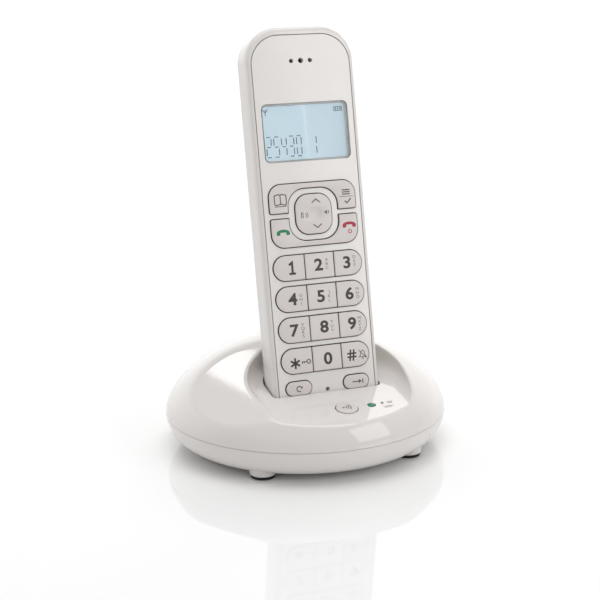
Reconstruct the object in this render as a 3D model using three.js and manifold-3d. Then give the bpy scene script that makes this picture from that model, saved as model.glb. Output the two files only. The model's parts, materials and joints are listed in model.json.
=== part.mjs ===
// A cordless phone with its charging base, in millimetres, +Z up, the phone's face towards -Y.
// The origin is the middle of the base on the table. The handset has a frame of its own: x across
// its face, y into it from the front, z up along it, with its origin where the face enters the cradle.
import * as THREE from "three";
import { mergeVertices } from "three/addons/utils/BufferGeometryUtils.js";
import Module from "manifold-3d";

const wasm = await Module();
wasm.setup();

// ---------------------------------------------------------------- driving sizes

// Clearances
const GAP = 0.35; // between neighbouring solid pieces
const KEY_GAP = 0.35; // around a key in its opening
const CRADLE_GAP = 0.7; // between the handset and the well that holds it
const FAR = 200; // past every surface, for cutters

// Base: two round shells that meet at a parting line
const BASE_RADIUS = 62;
const PARTING_Z = 15.3;
const DOME_RISE = 34;
const DOME_POWER = 1.8; // 2 would be an ellipse; less is flatter on the shoulder
const BASE_WALL = 2;
const UNDERSIDE_RADIUS = 50;
const UNDERSIDE_Z = 2.6;
const FACET_HEIGHT = 55.3; // height over the origin of the flat that trims the dome's left shoulder
const FACET_SLOPE_X = 0.448;
const FACET_SLOPE_Y = 0.295;

// Cradle: a bay with a sloping floor, open to the front, and a well for the handset's foot
const LEAN = THREE.MathUtils.degToRad(10.95);
const SEAT = new THREE.Vector3(0, -28.8, 30.3); // where the handset's face meets the floor
const FLOOR_SLOPE = 0.178;
const BAY_SIDE_ROOM = 4.5; // floor on either side of the handset
const BAY_REAR_Y = -4.8;
const BAY_CORNER = 20;
const BAY_FILLET = 6;
const BAY_DEPTH = 40;

// Feet and screws of the base
const FOOT_X = 33;
const FOOT_Y = 38;
const FOOT_RADIUS = 4.6;
const FOOT_HEIGHT = 2.4;
const FOOT_BOSS_RADIUS = 5.8;
const FOOT_BOSS_Z = 1;
const BASE_SCREW_X = 42;
const BASE_SCREW_Y = 18;
const BASE_SCREW_LENGTH = 12;
const SCREW_SHANK_RADIUS = 1.2;
const SCREW_HEAD_RADIUS = 2.4;
const SCREW_HEAD_HEIGHT = 1.6;
const SCREW_RECESS = 0.6;
const SCREW_BOSS_WALL = 1.9;
const SCREW_SLOT_WIDTH = 0.6;
const SCREW_SLOT_DEPTH = 0.6;
const SCREW_NECK = 0.5; // how far a shank runs into its head

// Base electronics
const BOARD_THICKNESS = 1.5;
const BASE_BOARD_HALF_WIDTH = 29;
const BASE_BOARD_FRONT_Y = -22;
const BASE_BOARD_REAR_Y = 48;
const BASE_BOARD_CORNER = 10; // its rear corners follow the round shell
const JACK_BAY_HALF_WIDTH = 19;
const JACK_BAY_Y = 51;
const JACK_DEPTH = 13;
const JACK_HEIGHT = 8.2;
const LINE_JACK_X = 8.5;
const LINE_JACK_WIDTH = 12.4;
const LINE_SOCKET_WIDTH = 9.7;
const LINE_SOCKET_HEIGHT = 6.6;
const LINE_SOCKET_DEPTH = 10;
const POWER_JACK_X = -9;
const POWER_JACK_WIDTH = 9;
const POWER_BARREL_RADIUS = 3.2;
const POWER_BARREL_DEPTH = 9;
const POWER_PIN_RADIUS = 1;

// Page button and status light, placed on the bay floor by x and y
const PAGE_BUTTON_X = 1.9;
const PAGE_BUTTON_Y = -45.3;
const PAGE_BUTTON_RADIUS = 4.6;
const PAGE_BUTTON_PROUD = 0.7;
const PAGE_BUTTON_TRAVEL = 0.8;
const PAGE_BUTTON_FLANGE = 1.2;
const PAGE_BUTTON_EDGE = 0.5;
const PAGE_PLUNGER_RADIUS = 1.5;
const PAGE_PLUNGER_LENGTH = 5;
const LIGHT_X = 13.1;
const LIGHT_Y = -45.2;
const LIGHT_RADIUS = 1.5;
const LIGHT_LENGTH = 7;
const LIGHT_PROUD = 0.2;
const FRONT_BOARD_DROP = 9; // depth of the small board under the floor
const FRONT_BOARD_LENGTH = 26;
const FRONT_BOARD_WIDTH = 9;
const PAGE_SWITCH_SIZE = 6;

// Charging contacts in the well, and the pads that they meet
const CONTACT_X = 12;
const CONTACT_DEPTH = 8; // from the handset's face
const CONTACT_WIDTH = 3;
const CONTACT_THICKNESS = 1.2;
const CONTACT_LENGTH = 6.5;
const PAD_WIDTH = 6;
const PAD_DEPTH = 4;
const PAD_THICKNESS = 1.8;

// Handset
const HANDSET_TOP = 154.2;
const HANDSET_BOTTOM = -9;
const TOP_CORNER = 14.5;
const BOTTOM_CORNER = 7;
const FRONT_EDGE = 2.2;
const SIDE_DEPTH = 9.7; // depth at which the side begins to curve round to the back
const BACK_TOP_ROUND = 10;
const BACK_BOTTOM_ROUND = 8;
const HANDSET_WALL = 1.6;
const SPLIT_DEPTH = 11;
const BACK_FULLNESS = [0.56, 0.6]; // how square the back's curve is, across and in depth

// Face plate and what shows through it
const BEZEL = 2.3;
const BEZEL_TOP = 3.7;
const PLATE_BOTTOM = -6.5;
const PLATE_THICKNESS = 1.3;
const PLATE_BACKING = 1.4; // the front shell's wall behind the plate
const WINDOW_HALF_WIDTH = 18.9;
const WINDOW_BOTTOM = 98.2;
const WINDOW_TOP = 122;
const WINDOW_CORNER = 2;
const WINDOW_THICKNESS = 1.1;
const WINDOW_SINK = 0.1; // depth of the window's front below the face
const VIEW_MARGIN = 0.7; // the window's rim that rests on the shell
const EARPIECE_V = 139.8;
const EARPIECE_PITCH = 4.2;
const EARPIECE_RADII = [0.9, 1.1, 0.9];
const MIC_V = 0.9;
const MIC_HOLE_RADIUS = 0.85;

// Keys
const KEY_PROUD = 0.7;
const KEY_DEPTH = 3.2; // depth of a key's foot below the face
const KEY_TRAVEL = 0.8;
const ROW_HALF_WIDTH = 19.8;
const ROW_PITCH = 13.1;
const ROW_GAP = 2.6; // face between two rows
const TOP_ROW_V = 53.6;
const ROW_SPLITS = [-5.9, 7.3];
const SPLIT_GAP = 0.3;
const SPLIT_CORNER = 0.2;
const NEARLY = 0.01; // keeps a pill's end just short of a half circle
const SMALL_KEY_INNER = 7.3;
const SMALL_KEY_OUTER = 18.7;
const SMALL_KEY_HEIGHT = 5.8;
const SMALL_KEY_V = 2.7;
const CLUSTER_HALF_WIDTH = 19.3;
const CLUSTER_BOTTOM = 62.3;
const CLUSTER_TOP = 88.7;
const CLUSTER_CORNER = 5.5;
const CLUSTER_INNER_CORNER = 0.8;
const BAR_HEIGHT = 2.5;
const RING_HALF_WIDTH = 10.9;
const RING_SET_IN = 2.4; // between the rockers' far edges and the ring
const RING_WIDTH = 2.5;
const RING_END_WIDTH = 2.1; // above and below the navigation key
const RING_CORNER = 7.3;
const NAVIGATION_CORNER = 5.7;
const NAVIGATION_DOME_RADIUS = 3;

// Inside the handset
const MEMBRANE_THICKNESS = 0.8;
const MEMBRANE_TOP = 90.5;
const MEMBRANE_HALF_WIDTH = 20.3;
const HANDSET_BOARD_THICKNESS = 1.2;
const BOARD_TOP = 124;
const BOARD_HALF_WIDTH = 20.8;
const DISPLAY_MARGIN = 0.6; // the display's rim behind the window's opening
const DISPLAY_THICKNESS = 1.1;
const BACKLIGHT_THICKNESS = 0.5;
const SPEAKER_RADIUS = 11.5;
const SPEAKER_THICKNESS = 4.5;
const SPEAKER_DROP = 2.5; // of its middle below the holes
const MIC_RADIUS = 2.6;
const RINGER_RADIUS = 8;
const RINGER_THICKNESS = 3;
const RINGER_V = 118;
const RINGER_SLOT_WIDTH = 10;
const RINGER_SLOT_HEIGHT = 1.2;
const RINGER_SLOT_PITCH = 3;
const CELL_RADIUS = 5.25;
const CELL_LENGTH = 44.5;
const CELL_BOTTOM = 34;
const CELL_SPACING = 0.4;
const CELL_CAP_RADIUS = 1.8;
const CELL_CAP_HEIGHT = 1;
const PLUG_WIDTH = 10;
const PLUG_THICKNESS = 5;
const PLUG_LENGTH = 6;
const DOOR_SIDE_ROOM = 0.85; // beside the outer cells
const HANDSET_SIDE_ROOM = 7.85; // beside the outer cells, for the curve of the back
const BACK_ROUNDING = 8.15; // from an outer cell's side to where the back begins to curve
const CELL_BACK_ROOM = 0.275; // between a cell and the door
const DOOR_BOTTOM = 30;
const DOOR_TOP = 88;
const TUB_WALL = 1.1;
const HANDSET_SCREW_X = 14;
const HANDSET_SCREW_V = 93.6;
const HANDSET_SCREW_BOSS = 2.7;
const HANDSET_SCREW_HEAD_RADIUS = 1.85;
const HANDSET_SCREW_SINK = 4.4; // depth of a head's seat below the handset's back
const BOARD_MARGIN = 1.4; // between the boards' ends and the shell
const BOARD_CORNER = 3;

// Curve fineness
const SHELL_ROUND = 40; // sides of the base's two shells
const DOME_STEPS = 10; // steps up the dome
const BOWL_STEPS = 6; // steps up the bowl
const ROUND = 24; // sides of a large round piece
const HOLE_ROUND = 12; // sides of a screw's shank and of a hole
const SMALL_ROUND = 10; // sides of a small round piece
const ARC_STEPS = 5; // steps along a quarter turn
const BAY_FILLET_STEPS = 4; // steps round the bay's foot
const KEY_STEPS = 3; // the same on a key's corner
const SECTION_STEPS = 8; // the same round the handset's back

// ---------------------------------------------------------------- materials

function finish(color, roughness, metalness = 0) {
  return new THREE.MeshStandardMaterial({ color, roughness, metalness });
}

const WHITE_SHELL = finish(0xe8e4e1, 0.25);
const FACE_WHITE = finish(0xe6e1de, 0.3);
const KEY_GREY = finish(0xdad3d1, 0.45);
const BLACK_RUBBER = finish(0x1c1b1b, 0.9);
const BOARD_GREEN = finish(0x1f5a3a, 0.6);
const STEEL = finish(0xb9bbbd, 0.3, 1);
const CONTACT_GOLD = finish(0xcaa45a, 0.25, 1);
const LIGHT_GREEN = finish(0x1f7a55, 0.2);
const CLEAR_WINDOW = finish(0xc8dce8, 0.08);
const DISPLAY_BLUE = finish(0xc3d8e6, 0.3);
const SOFT_GREY = finish(0x8d8b8a, 0.8);
const DARK_PLASTIC = finish(0x2b2b2d, 0.5);
const CELL_WRAP = finish(0x3f7d4c, 0.4);

// ---------------------------------------------------------------- solids and shapes

// A closed geometry as a solid that can be joined and cut.
function solid(geometry) {
  const bare = geometry.clone();
  bare.deleteAttribute("normal");
  bare.deleteAttribute("uv");
  const merged = mergeVertices(bare, 1e-4);
  const vertProperties = merged.attributes.position.array;
  const triVerts = new Uint32Array(merged.index.array);
  return new wasm.Manifold(new wasm.Mesh({ numProp: 3, vertProperties, triVerts }));
}

// A solid as a plain geometry.
function geometryOf(body) {
  const mesh = body.getMesh();
  const geometry = new THREE.BufferGeometry();
  geometry.setAttribute("position", new THREE.BufferAttribute(new Float32Array(mesh.vertProperties), 3));
  geometry.setIndex(Array.from(mesh.triVerts));
  const faceted = geometry.toNonIndexed();
  faceted.computeVertexNormals();
  return faceted;
}

const joined = (bodies) => bodies.reduce((sum, body) => sum.add(body));
const cutBy = (body, cutters) => cutters.reduce((rest, cutter) => rest.subtract(cutter), body);

// A rectangle with round corners, its radii given from the lower left corner, anticlockwise.
function roundedRect(left, bottom, right, top, radii) {
  const all = Array.isArray(radii) ? radii : [radii, radii, radii, radii];
  const [lowLeft, lowRight, highRight, highLeft] = all;
  const shape = new THREE.Shape();
  shape.moveTo(left + lowLeft, bottom);
  shape.lineTo(right - lowRight, bottom);
  shape.absarc(right - lowRight, bottom + lowRight, lowRight, -Math.PI / 2, 0, false);
  shape.lineTo(right, top - highRight);
  shape.absarc(right - highRight, top - highRight, highRight, 0, Math.PI / 2, false);
  shape.lineTo(left + highLeft, top);
  shape.absarc(left + highLeft, top - highLeft, highLeft, Math.PI / 2, Math.PI, false);
  shape.lineTo(left, bottom + lowLeft);
  shape.absarc(left + lowLeft, bottom + lowLeft, lowLeft, Math.PI, Math.PI * 1.5, false);
  return shape;
}

// A shape in x and y, raised from one z to another.
function prism(shape, fromZ, toZ, steps = ARC_STEPS) {
  const options = { depth: toZ - fromZ, bevelEnabled: false, curveSegments: steps };
  return solid(new THREE.ExtrudeGeometry(shape, options).translate(0, 0, fromZ));
}

// A shape in x and z, such as an outline on the handset's face, from one y to another.
function plate(shape, fromY, toY, steps = ARC_STEPS) {
  const options = { depth: toY - fromY, bevelEnabled: false, curveSegments: steps };
  return solid(new THREE.ExtrudeGeometry(shape, options).translate(0, 0, -toY).rotateX(Math.PI / 2));
}

// A box between two corners.
function box(from, to) {
  const size = to.map((high, axis) => high - from[axis]);
  const middle = to.map((high, axis) => (high + from[axis]) / 2);
  return solid(new THREE.BoxGeometry(...size).translate(...middle));
}

// A cylinder along z between two heights.
function postZ(radius, x, y, fromZ, toZ, sides = SMALL_ROUND) {
  const post = new THREE.CylinderGeometry(radius, radius, toZ - fromZ, sides).rotateX(Math.PI / 2);
  return solid(post.translate(x, y, (fromZ + toZ) / 2));
}

// A cylinder along y between two depths.
function postY(radius, x, z, fromY, toY, sides = SMALL_ROUND) {
  const post = new THREE.CylinderGeometry(radius, radius, toY - fromY, sides);
  return solid(post.translate(x, (fromY + toY) / 2, z));
}

// A solid of revolution about z from a profile of [radius, z], listed upwards along its outside.
function turned(profile, sides = ROUND) {
  const points = profile.map(([radius, z]) => new THREE.Vector2(radius, z));
  return solid(new THREE.LatheGeometry(points, sides).rotateX(Math.PI / 2));
}

// The handset's size follows from the three cells side by side behind its circuit board.
const splitBack = SPLIT_DEPTH + GAP / 2;
const cellDepth = splitBack + TUB_WALL + GAP + CELL_RADIUS;
const cellPitch = CELL_RADIUS * 2 + CELL_SPACING;
const HANDSET_WIDTH = 2 * (cellPitch + CELL_RADIUS + HANDSET_SIDE_ROOM);
const HANDSET_THICKNESS = cellDepth + CELL_RADIUS + CELL_BACK_ROOM + HANDSET_WALL;
const BACK_FLAT_HALF_WIDTH = cellPitch + CELL_RADIUS - BACK_ROUNDING;

// A solid moved by a matrix, such as the frame of a tilted floor.
const placed = (body, matrix) => body.transform(matrix.elements);

// Turns what was raised along z so that it lies along x, with its outline in y and z.
const LYING = new THREE.Matrix4().makeBasis(
  new THREE.Vector3(0, 1, 0),
  new THREE.Vector3(0, 0, 1),
  new THREE.Vector3(1, 0, 0),
);

const root = new THREE.Group();
const handset = new THREE.Group();
handset.position.copy(SEAT);
handset.rotation.x = -LEAN;
handset.updateMatrix();
root.add(handset);

function addPiece(group, name, body, material) {
  const mesh = new THREE.Mesh(geometryOf(body), material);
  mesh.name = name;
  group.add(mesh);
}

// ---------------------------------------------------------------- handset outlines

// The whole handset's body, set in by an amount on every side.
function handsetBody(inset) {
  const half = HANDSET_WIDTH / 2 - inset;
  const top = HANDSET_TOP - inset;
  const bottom = HANDSET_BOTTOM + inset;
  const corner = Math.max(BOTTOM_CORNER - inset, 1);
  const topCorner = TOP_CORNER - inset;
  const outline = roundedRect(-half, bottom, half, top, [corner, corner, topCorner, topCorner]);
  const front = plate(outline, -1, HANDSET_THICKNESS + 1);
  return front.intersect(handsetSection(inset, bottom - 1, top + 1)).intersect(handsetProfile(inset));
}

// The handset's cross-section, raised along its length. A negative inset makes a cutter for the well.
function handsetSection(inset, fromZ, toZ) {
  const half = HANDSET_WIDTH / 2 - inset;
  const back = HANDSET_THICKNESS - inset;
  const flat = BACK_FLAT_HALF_WIDTH;
  const edge = Math.max(FRONT_EDGE - inset, 0.4);
  const [fullAcross, fullDeep] = BACK_FULLNESS;
  const handleDepth = (HANDSET_THICKNESS - SIDE_DEPTH) * fullDeep;
  const handleWidth = (HANDSET_WIDTH / 2 - flat) * fullAcross;
  const shape = new THREE.Shape();
  shape.moveTo(-half + edge, inset);
  shape.lineTo(half - edge, inset);
  shape.absarc(half - edge, inset + edge, edge, -Math.PI / 2, 0, false);
  shape.lineTo(half, SIDE_DEPTH);
  shape.bezierCurveTo(half, SIDE_DEPTH + handleDepth, flat + handleWidth, back, flat, back);
  shape.lineTo(-flat, back);
  shape.bezierCurveTo(-flat - handleWidth, back, -half, SIDE_DEPTH + handleDepth, -half, SIDE_DEPTH);
  shape.lineTo(-half, inset + edge);
  shape.absarc(-half + edge, inset + edge, edge, Math.PI, Math.PI * 1.5, false);
  return prism(shape, fromZ, toZ, SECTION_STEPS);
}

// The handset seen from its side, as wide as the handset: round where the back meets the two ends.
function handsetProfile(inset) {
  const back = HANDSET_THICKNESS - inset;
  const edge = Math.max(FRONT_EDGE - inset, 0.4);
  const rounds = [edge, BACK_BOTTOM_ROUND - inset, BACK_TOP_ROUND - inset, edge];
  const shape = roundedRect(inset, HANDSET_BOTTOM + inset, back, HANDSET_TOP - inset, rounds);
  return placed(prism(shape, -HANDSET_WIDTH, HANDSET_WIDTH), LYING);
}

// The face plate's outline, grown by a clearance.
function facePlateShape(grow) {
  const half = HANDSET_WIDTH / 2 - BEZEL + grow;
  const top = HANDSET_TOP - BEZEL_TOP + grow;
  const corner = TOP_CORNER - BEZEL + grow;
  return roundedRect(-half, PLATE_BOTTOM - grow, half, top, [3 + grow, 3 + grow, corner, corner]);
}

const windowShape = (grow) =>
  roundedRect(
    -WINDOW_HALF_WIDTH - grow,
    WINDOW_BOTTOM - grow,
    WINDOW_HALF_WIDTH + grow,
    WINDOW_TOP + grow,
    WINDOW_CORNER + grow,
  );

// ---------------------------------------------------------------- key outlines

// Each key as a solid between two depths, grown by a clearance, so that its opening follows it.
const clusterMiddle = (CLUSTER_BOTTOM + CLUSTER_TOP) / 2;
const ringHalfHeight = (CLUSTER_TOP - CLUSTER_BOTTOM) / 2 - RING_SET_IN;

function ringSolid(grow, fromY, toY) {
  const half = RING_HALF_WIDTH + grow;
  const rise = ringHalfHeight + grow;
  const shape = roundedRect(-half, clusterMiddle - rise, half, clusterMiddle + rise, RING_CORNER + grow);
  return plate(shape, fromY, toY, KEY_STEPS);
}

// One of the two U-shaped rockers round the ring: side is 1 for the upper and -1 for the lower.
function rockerSolid(side, grow, fromY, toY) {
  const inner = CLUSTER_INNER_CORNER + grow;
  const outer = CLUSTER_CORNER + grow;
  const near = clusterMiddle + side * (BAR_HEIGHT / 2 - grow);
  const far = side > 0 ? CLUSTER_TOP + grow : CLUSTER_BOTTOM - grow;
  const radii = side > 0 ? [inner, inner, outer, outer] : [outer, outer, inner, inner];
  const half = CLUSTER_HALF_WIDTH + grow;
  const shape = roundedRect(-half, Math.min(near, far), half, Math.max(near, far), radii);
  return plate(shape, fromY, toY, KEY_STEPS).subtract(ringSolid(KEY_GAP - grow, fromY - 1, toY + 1));
}

function navigationSolid(grow, fromY, toY) {
  const half = RING_HALF_WIDTH - RING_WIDTH - KEY_GAP + grow;
  const rise = ringHalfHeight - RING_END_WIDTH - KEY_GAP + grow;
  const corner = NAVIGATION_CORNER + grow;
  const shape = roundedRect(-half, clusterMiddle - rise, half, clusterMiddle + rise, corner);
  return plate(shape, fromY, toY, KEY_STEPS);
}

const rowHeight = ROW_PITCH - ROW_GAP;

// One key of a row of three, which together make a pill: column is 0, 1 or 2.
function rowKeySolid(row, column, fromY, toY) {
  const middle = TOP_ROW_V - row * ROW_PITCH;
  const left = column === 0 ? -ROW_HALF_WIDTH : ROW_SPLITS[column - 1] + SPLIT_GAP / 2;
  const right = column === 2 ? ROW_HALF_WIDTH : ROW_SPLITS[column] - SPLIT_GAP / 2;
  const rise = rowHeight / 2;
  const leftRound = column === 0 ? rise - NEARLY : SPLIT_CORNER;
  const rightRound = column === 2 ? rise - NEARLY : SPLIT_CORNER;
  const radii = [leftRound, rightRound, rightRound, leftRound];
  const shape = roundedRect(left, middle - rise, right, middle + rise, radii);
  return plate(shape, fromY, toY, KEY_STEPS);
}

function rowOpening(row, fromY, toY) {
  const middle = TOP_ROW_V - row * ROW_PITCH;
  const rise = rowHeight / 2 + KEY_GAP;
  const half = ROW_HALF_WIDTH + KEY_GAP;
  const shape = roundedRect(-half, middle - rise, half, middle + rise, rise - NEARLY);
  return plate(shape, fromY, toY, KEY_STEPS);
}

// The two small pill keys at the foot of the face: side is -1 for the left and 1 for the right.
function smallKeySolid(side, grow, fromY, toY) {
  const rise = SMALL_KEY_HEIGHT / 2 + grow;
  const near = side * (SMALL_KEY_INNER - grow);
  const far = side * (SMALL_KEY_OUTER + grow);
  const left = Math.min(near, far);
  const right = Math.max(near, far);
  const shape = roundedRect(left, SMALL_KEY_V - rise, right, SMALL_KEY_V + rise, rise - NEARLY);
  return plate(shape, fromY, toY, KEY_STEPS);
}

const rows = [0, 1, 2, 3];
const columns = [0, 1, 2];
const sides = [-1, 1];

// Every opening that the keys need, as cutters between two depths.
function keyOpenings(fromY, toY) {
  return [
    ...rows.map((row) => rowOpening(row, fromY, toY)),
    ...sides.map((side) => smallKeySolid(side, KEY_GAP, fromY, toY)),
    ...sides.map((side) => rockerSolid(side, KEY_GAP, fromY, toY)),
    navigationSolid(KEY_GAP, fromY, toY),
  ];
}

// ---------------------------------------------------------------- handset shells

const plateRecess = PLATE_THICKNESS + GAP;
const wallBack = plateRecess + PLATE_BACKING;
const splitFront = SPLIT_DEPTH - GAP / 2;
const doorHalfWidth = cellPitch + CELL_RADIUS + DOOR_SIDE_ROOM;
const membraneFront = KEY_DEPTH + KEY_TRAVEL + GAP;
const boardFront = membraneFront + MEMBRANE_THICKNESS + GAP;
const boardBack = boardFront + HANDSET_BOARD_THICKNESS;
const bodyOuter = handsetBody(0);
const bodyInner = handsetBody(HANDSET_WALL);
const bodyWall = bodyOuter.subtract(bodyInner);
const rearSkin = HANDSET_THICKNESS - HANDSET_WALL;

// Everything between two depths from the handset's face.
const depthSlab = (fromY, toY) => box([-FAR, fromY, -FAR], [FAR, toY, FAR]);

function earpieceHoles(fromY, toY) {
  return EARPIECE_RADII.map((radius, index) =>
    postY(radius, (index - 1) * EARPIECE_PITCH, EARPIECE_V, fromY, toY, HOLE_ROUND),
  );
}

function padSolid(side, grow) {
  const x = side * CONTACT_X;
  const wide = PAD_WIDTH / 2 + grow;
  const deep = PAD_DEPTH / 2 + grow;
  const top = HANDSET_BOTTOM + PAD_THICKNESS + grow;
  return box([x - wide, CONTACT_DEPTH - deep, HANDSET_BOTTOM - grow], [x + wide, CONTACT_DEPTH + deep, top]);
}

// A post at the place of one of the handset's two screws.
function screwPost(side, radius, fromY, toY, roundness = SMALL_ROUND) {
  return postY(radius, side * HANDSET_SCREW_X, HANDSET_SCREW_V, fromY, toY, roundness);
}

function frontShell() {
  const frontWall = bodyOuter.intersect(depthSlab(0, wallBack));
  const sideWalls = bodyWall.intersect(depthSlab(wallBack - 1, splitFront));
  const bosses = sides.map((side) => screwPost(side, HANDSET_SCREW_BOSS, wallBack - 0.5, splitFront));
  const through = [-1, wallBack + 1];
  const screwHoles = sides.map((side) =>
    screwPost(side, SCREW_SHANK_RADIUS + GAP, wallBack, SPLIT_DEPTH + 1),
  );
  return cutBy(joined([frontWall, sideWalls, ...bosses]), [
    plate(facePlateShape(GAP), -1, plateRecess),
    plate(windowShape(-VIEW_MARGIN), ...through),
    ...keyOpenings(...through),
    ...earpieceHoles(...through),
    postY(MIC_HOLE_RADIUS, 0, MIC_V, ...through, HOLE_ROUND),
    ...sides.map((side) => padSolid(side, GAP)),
    ...screwHoles,
  ]);
}

function facePlate() {
  const through = [-1, PLATE_THICKNESS + 1];
  return cutBy(plate(facePlateShape(0), 0, PLATE_THICKNESS), [
    plate(windowShape(GAP), ...through),
    ...keyOpenings(...through),
    ...earpieceHoles(...through),
    postY(MIC_HOLE_RADIUS, 0, MIC_V, ...through, HOLE_ROUND),
  ]);
}

// The space that holds the cells, open to the back, set in or grown by an amount.
function batterySpace(grow, fromY) {
  const half = doorHalfWidth + grow;
  return box([-half, fromY, DOOR_BOTTOM - grow], [half, FAR, DOOR_TOP + grow]);
}

function rearShell() {
  const walls = bodyWall.intersect(depthSlab(splitBack, FAR));
  const tub = bodyOuter.intersect(batterySpace(TUB_WALL, splitBack));
  const bosses = sides.map((side) =>
    screwPost(side, HANDSET_SCREW_BOSS, splitBack, rearSkin).intersect(bodyOuter),
  );
  const screwWays = sides.map((side) => screwPost(side, SCREW_SHANK_RADIUS + GAP, splitBack - 1, FAR));
  const headWays = sides.map((side) =>
    screwPost(side, HANDSET_SCREW_HEAD_RADIUS + GAP, screwSeat - GAP, FAR),
  );
  return cutBy(joined([walls, tub, ...bosses]), [
    batterySpace(0, splitBack + TUB_WALL),
    ...screwWays,
    ...headWays,
    ...[-1, 0, 1].map((index) => ringerSlot(RINGER_V + index * RINGER_SLOT_PITCH)),
  ]);
}

function ringerSlot(v) {
  const rise = RINGER_SLOT_HEIGHT / 2;
  const half = RINGER_SLOT_WIDTH / 2;
  const shape = roundedRect(-half, v - rise, half, v + rise, rise - NEARLY);
  return plate(shape, rearSkin - 1, FAR, KEY_STEPS);
}

// ---------------------------------------------------------------- screws

// A screw along z, its head at the bottom with a cross cut in it, from the head's face upwards.
function screwSolid(headRadius, length) {
  const head = postZ(headRadius, 0, 0, 0, SCREW_HEAD_HEIGHT);
  const shank = postZ(SCREW_SHANK_RADIUS, 0, 0, SCREW_HEAD_HEIGHT - SCREW_NECK, length, HOLE_ROUND);
  const reach = headRadius * 0.65;
  const half = SCREW_SLOT_WIDTH / 2;
  const slot = box([-reach, -half, -1], [reach, half, SCREW_SLOT_DEPTH]);
  const crossSlot = box([-half, -reach, -1], [half, reach, SCREW_SLOT_DEPTH]);
  return cutBy(head.add(shank), [slot, crossSlot]);
}

const baseScrew = (x, y) => screwSolid(SCREW_HEAD_RADIUS, BASE_SCREW_LENGTH).translate([x, y, screwHeadZ]);

const screwSeat = HANDSET_THICKNESS - HANDSET_SCREW_SINK;
const screwTip = boardBack + 2;

function handsetScrew(side) {
  const face = screwSeat + SCREW_HEAD_HEIGHT;
  const screw = screwSolid(HANDSET_SCREW_HEAD_RADIUS, face - screwTip);
  return screw.rotate([90, 0, 0]).translate([side * HANDSET_SCREW_X, face, HANDSET_SCREW_V]);
}

// ---------------------------------------------------------------- handset, piece by piece

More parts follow.
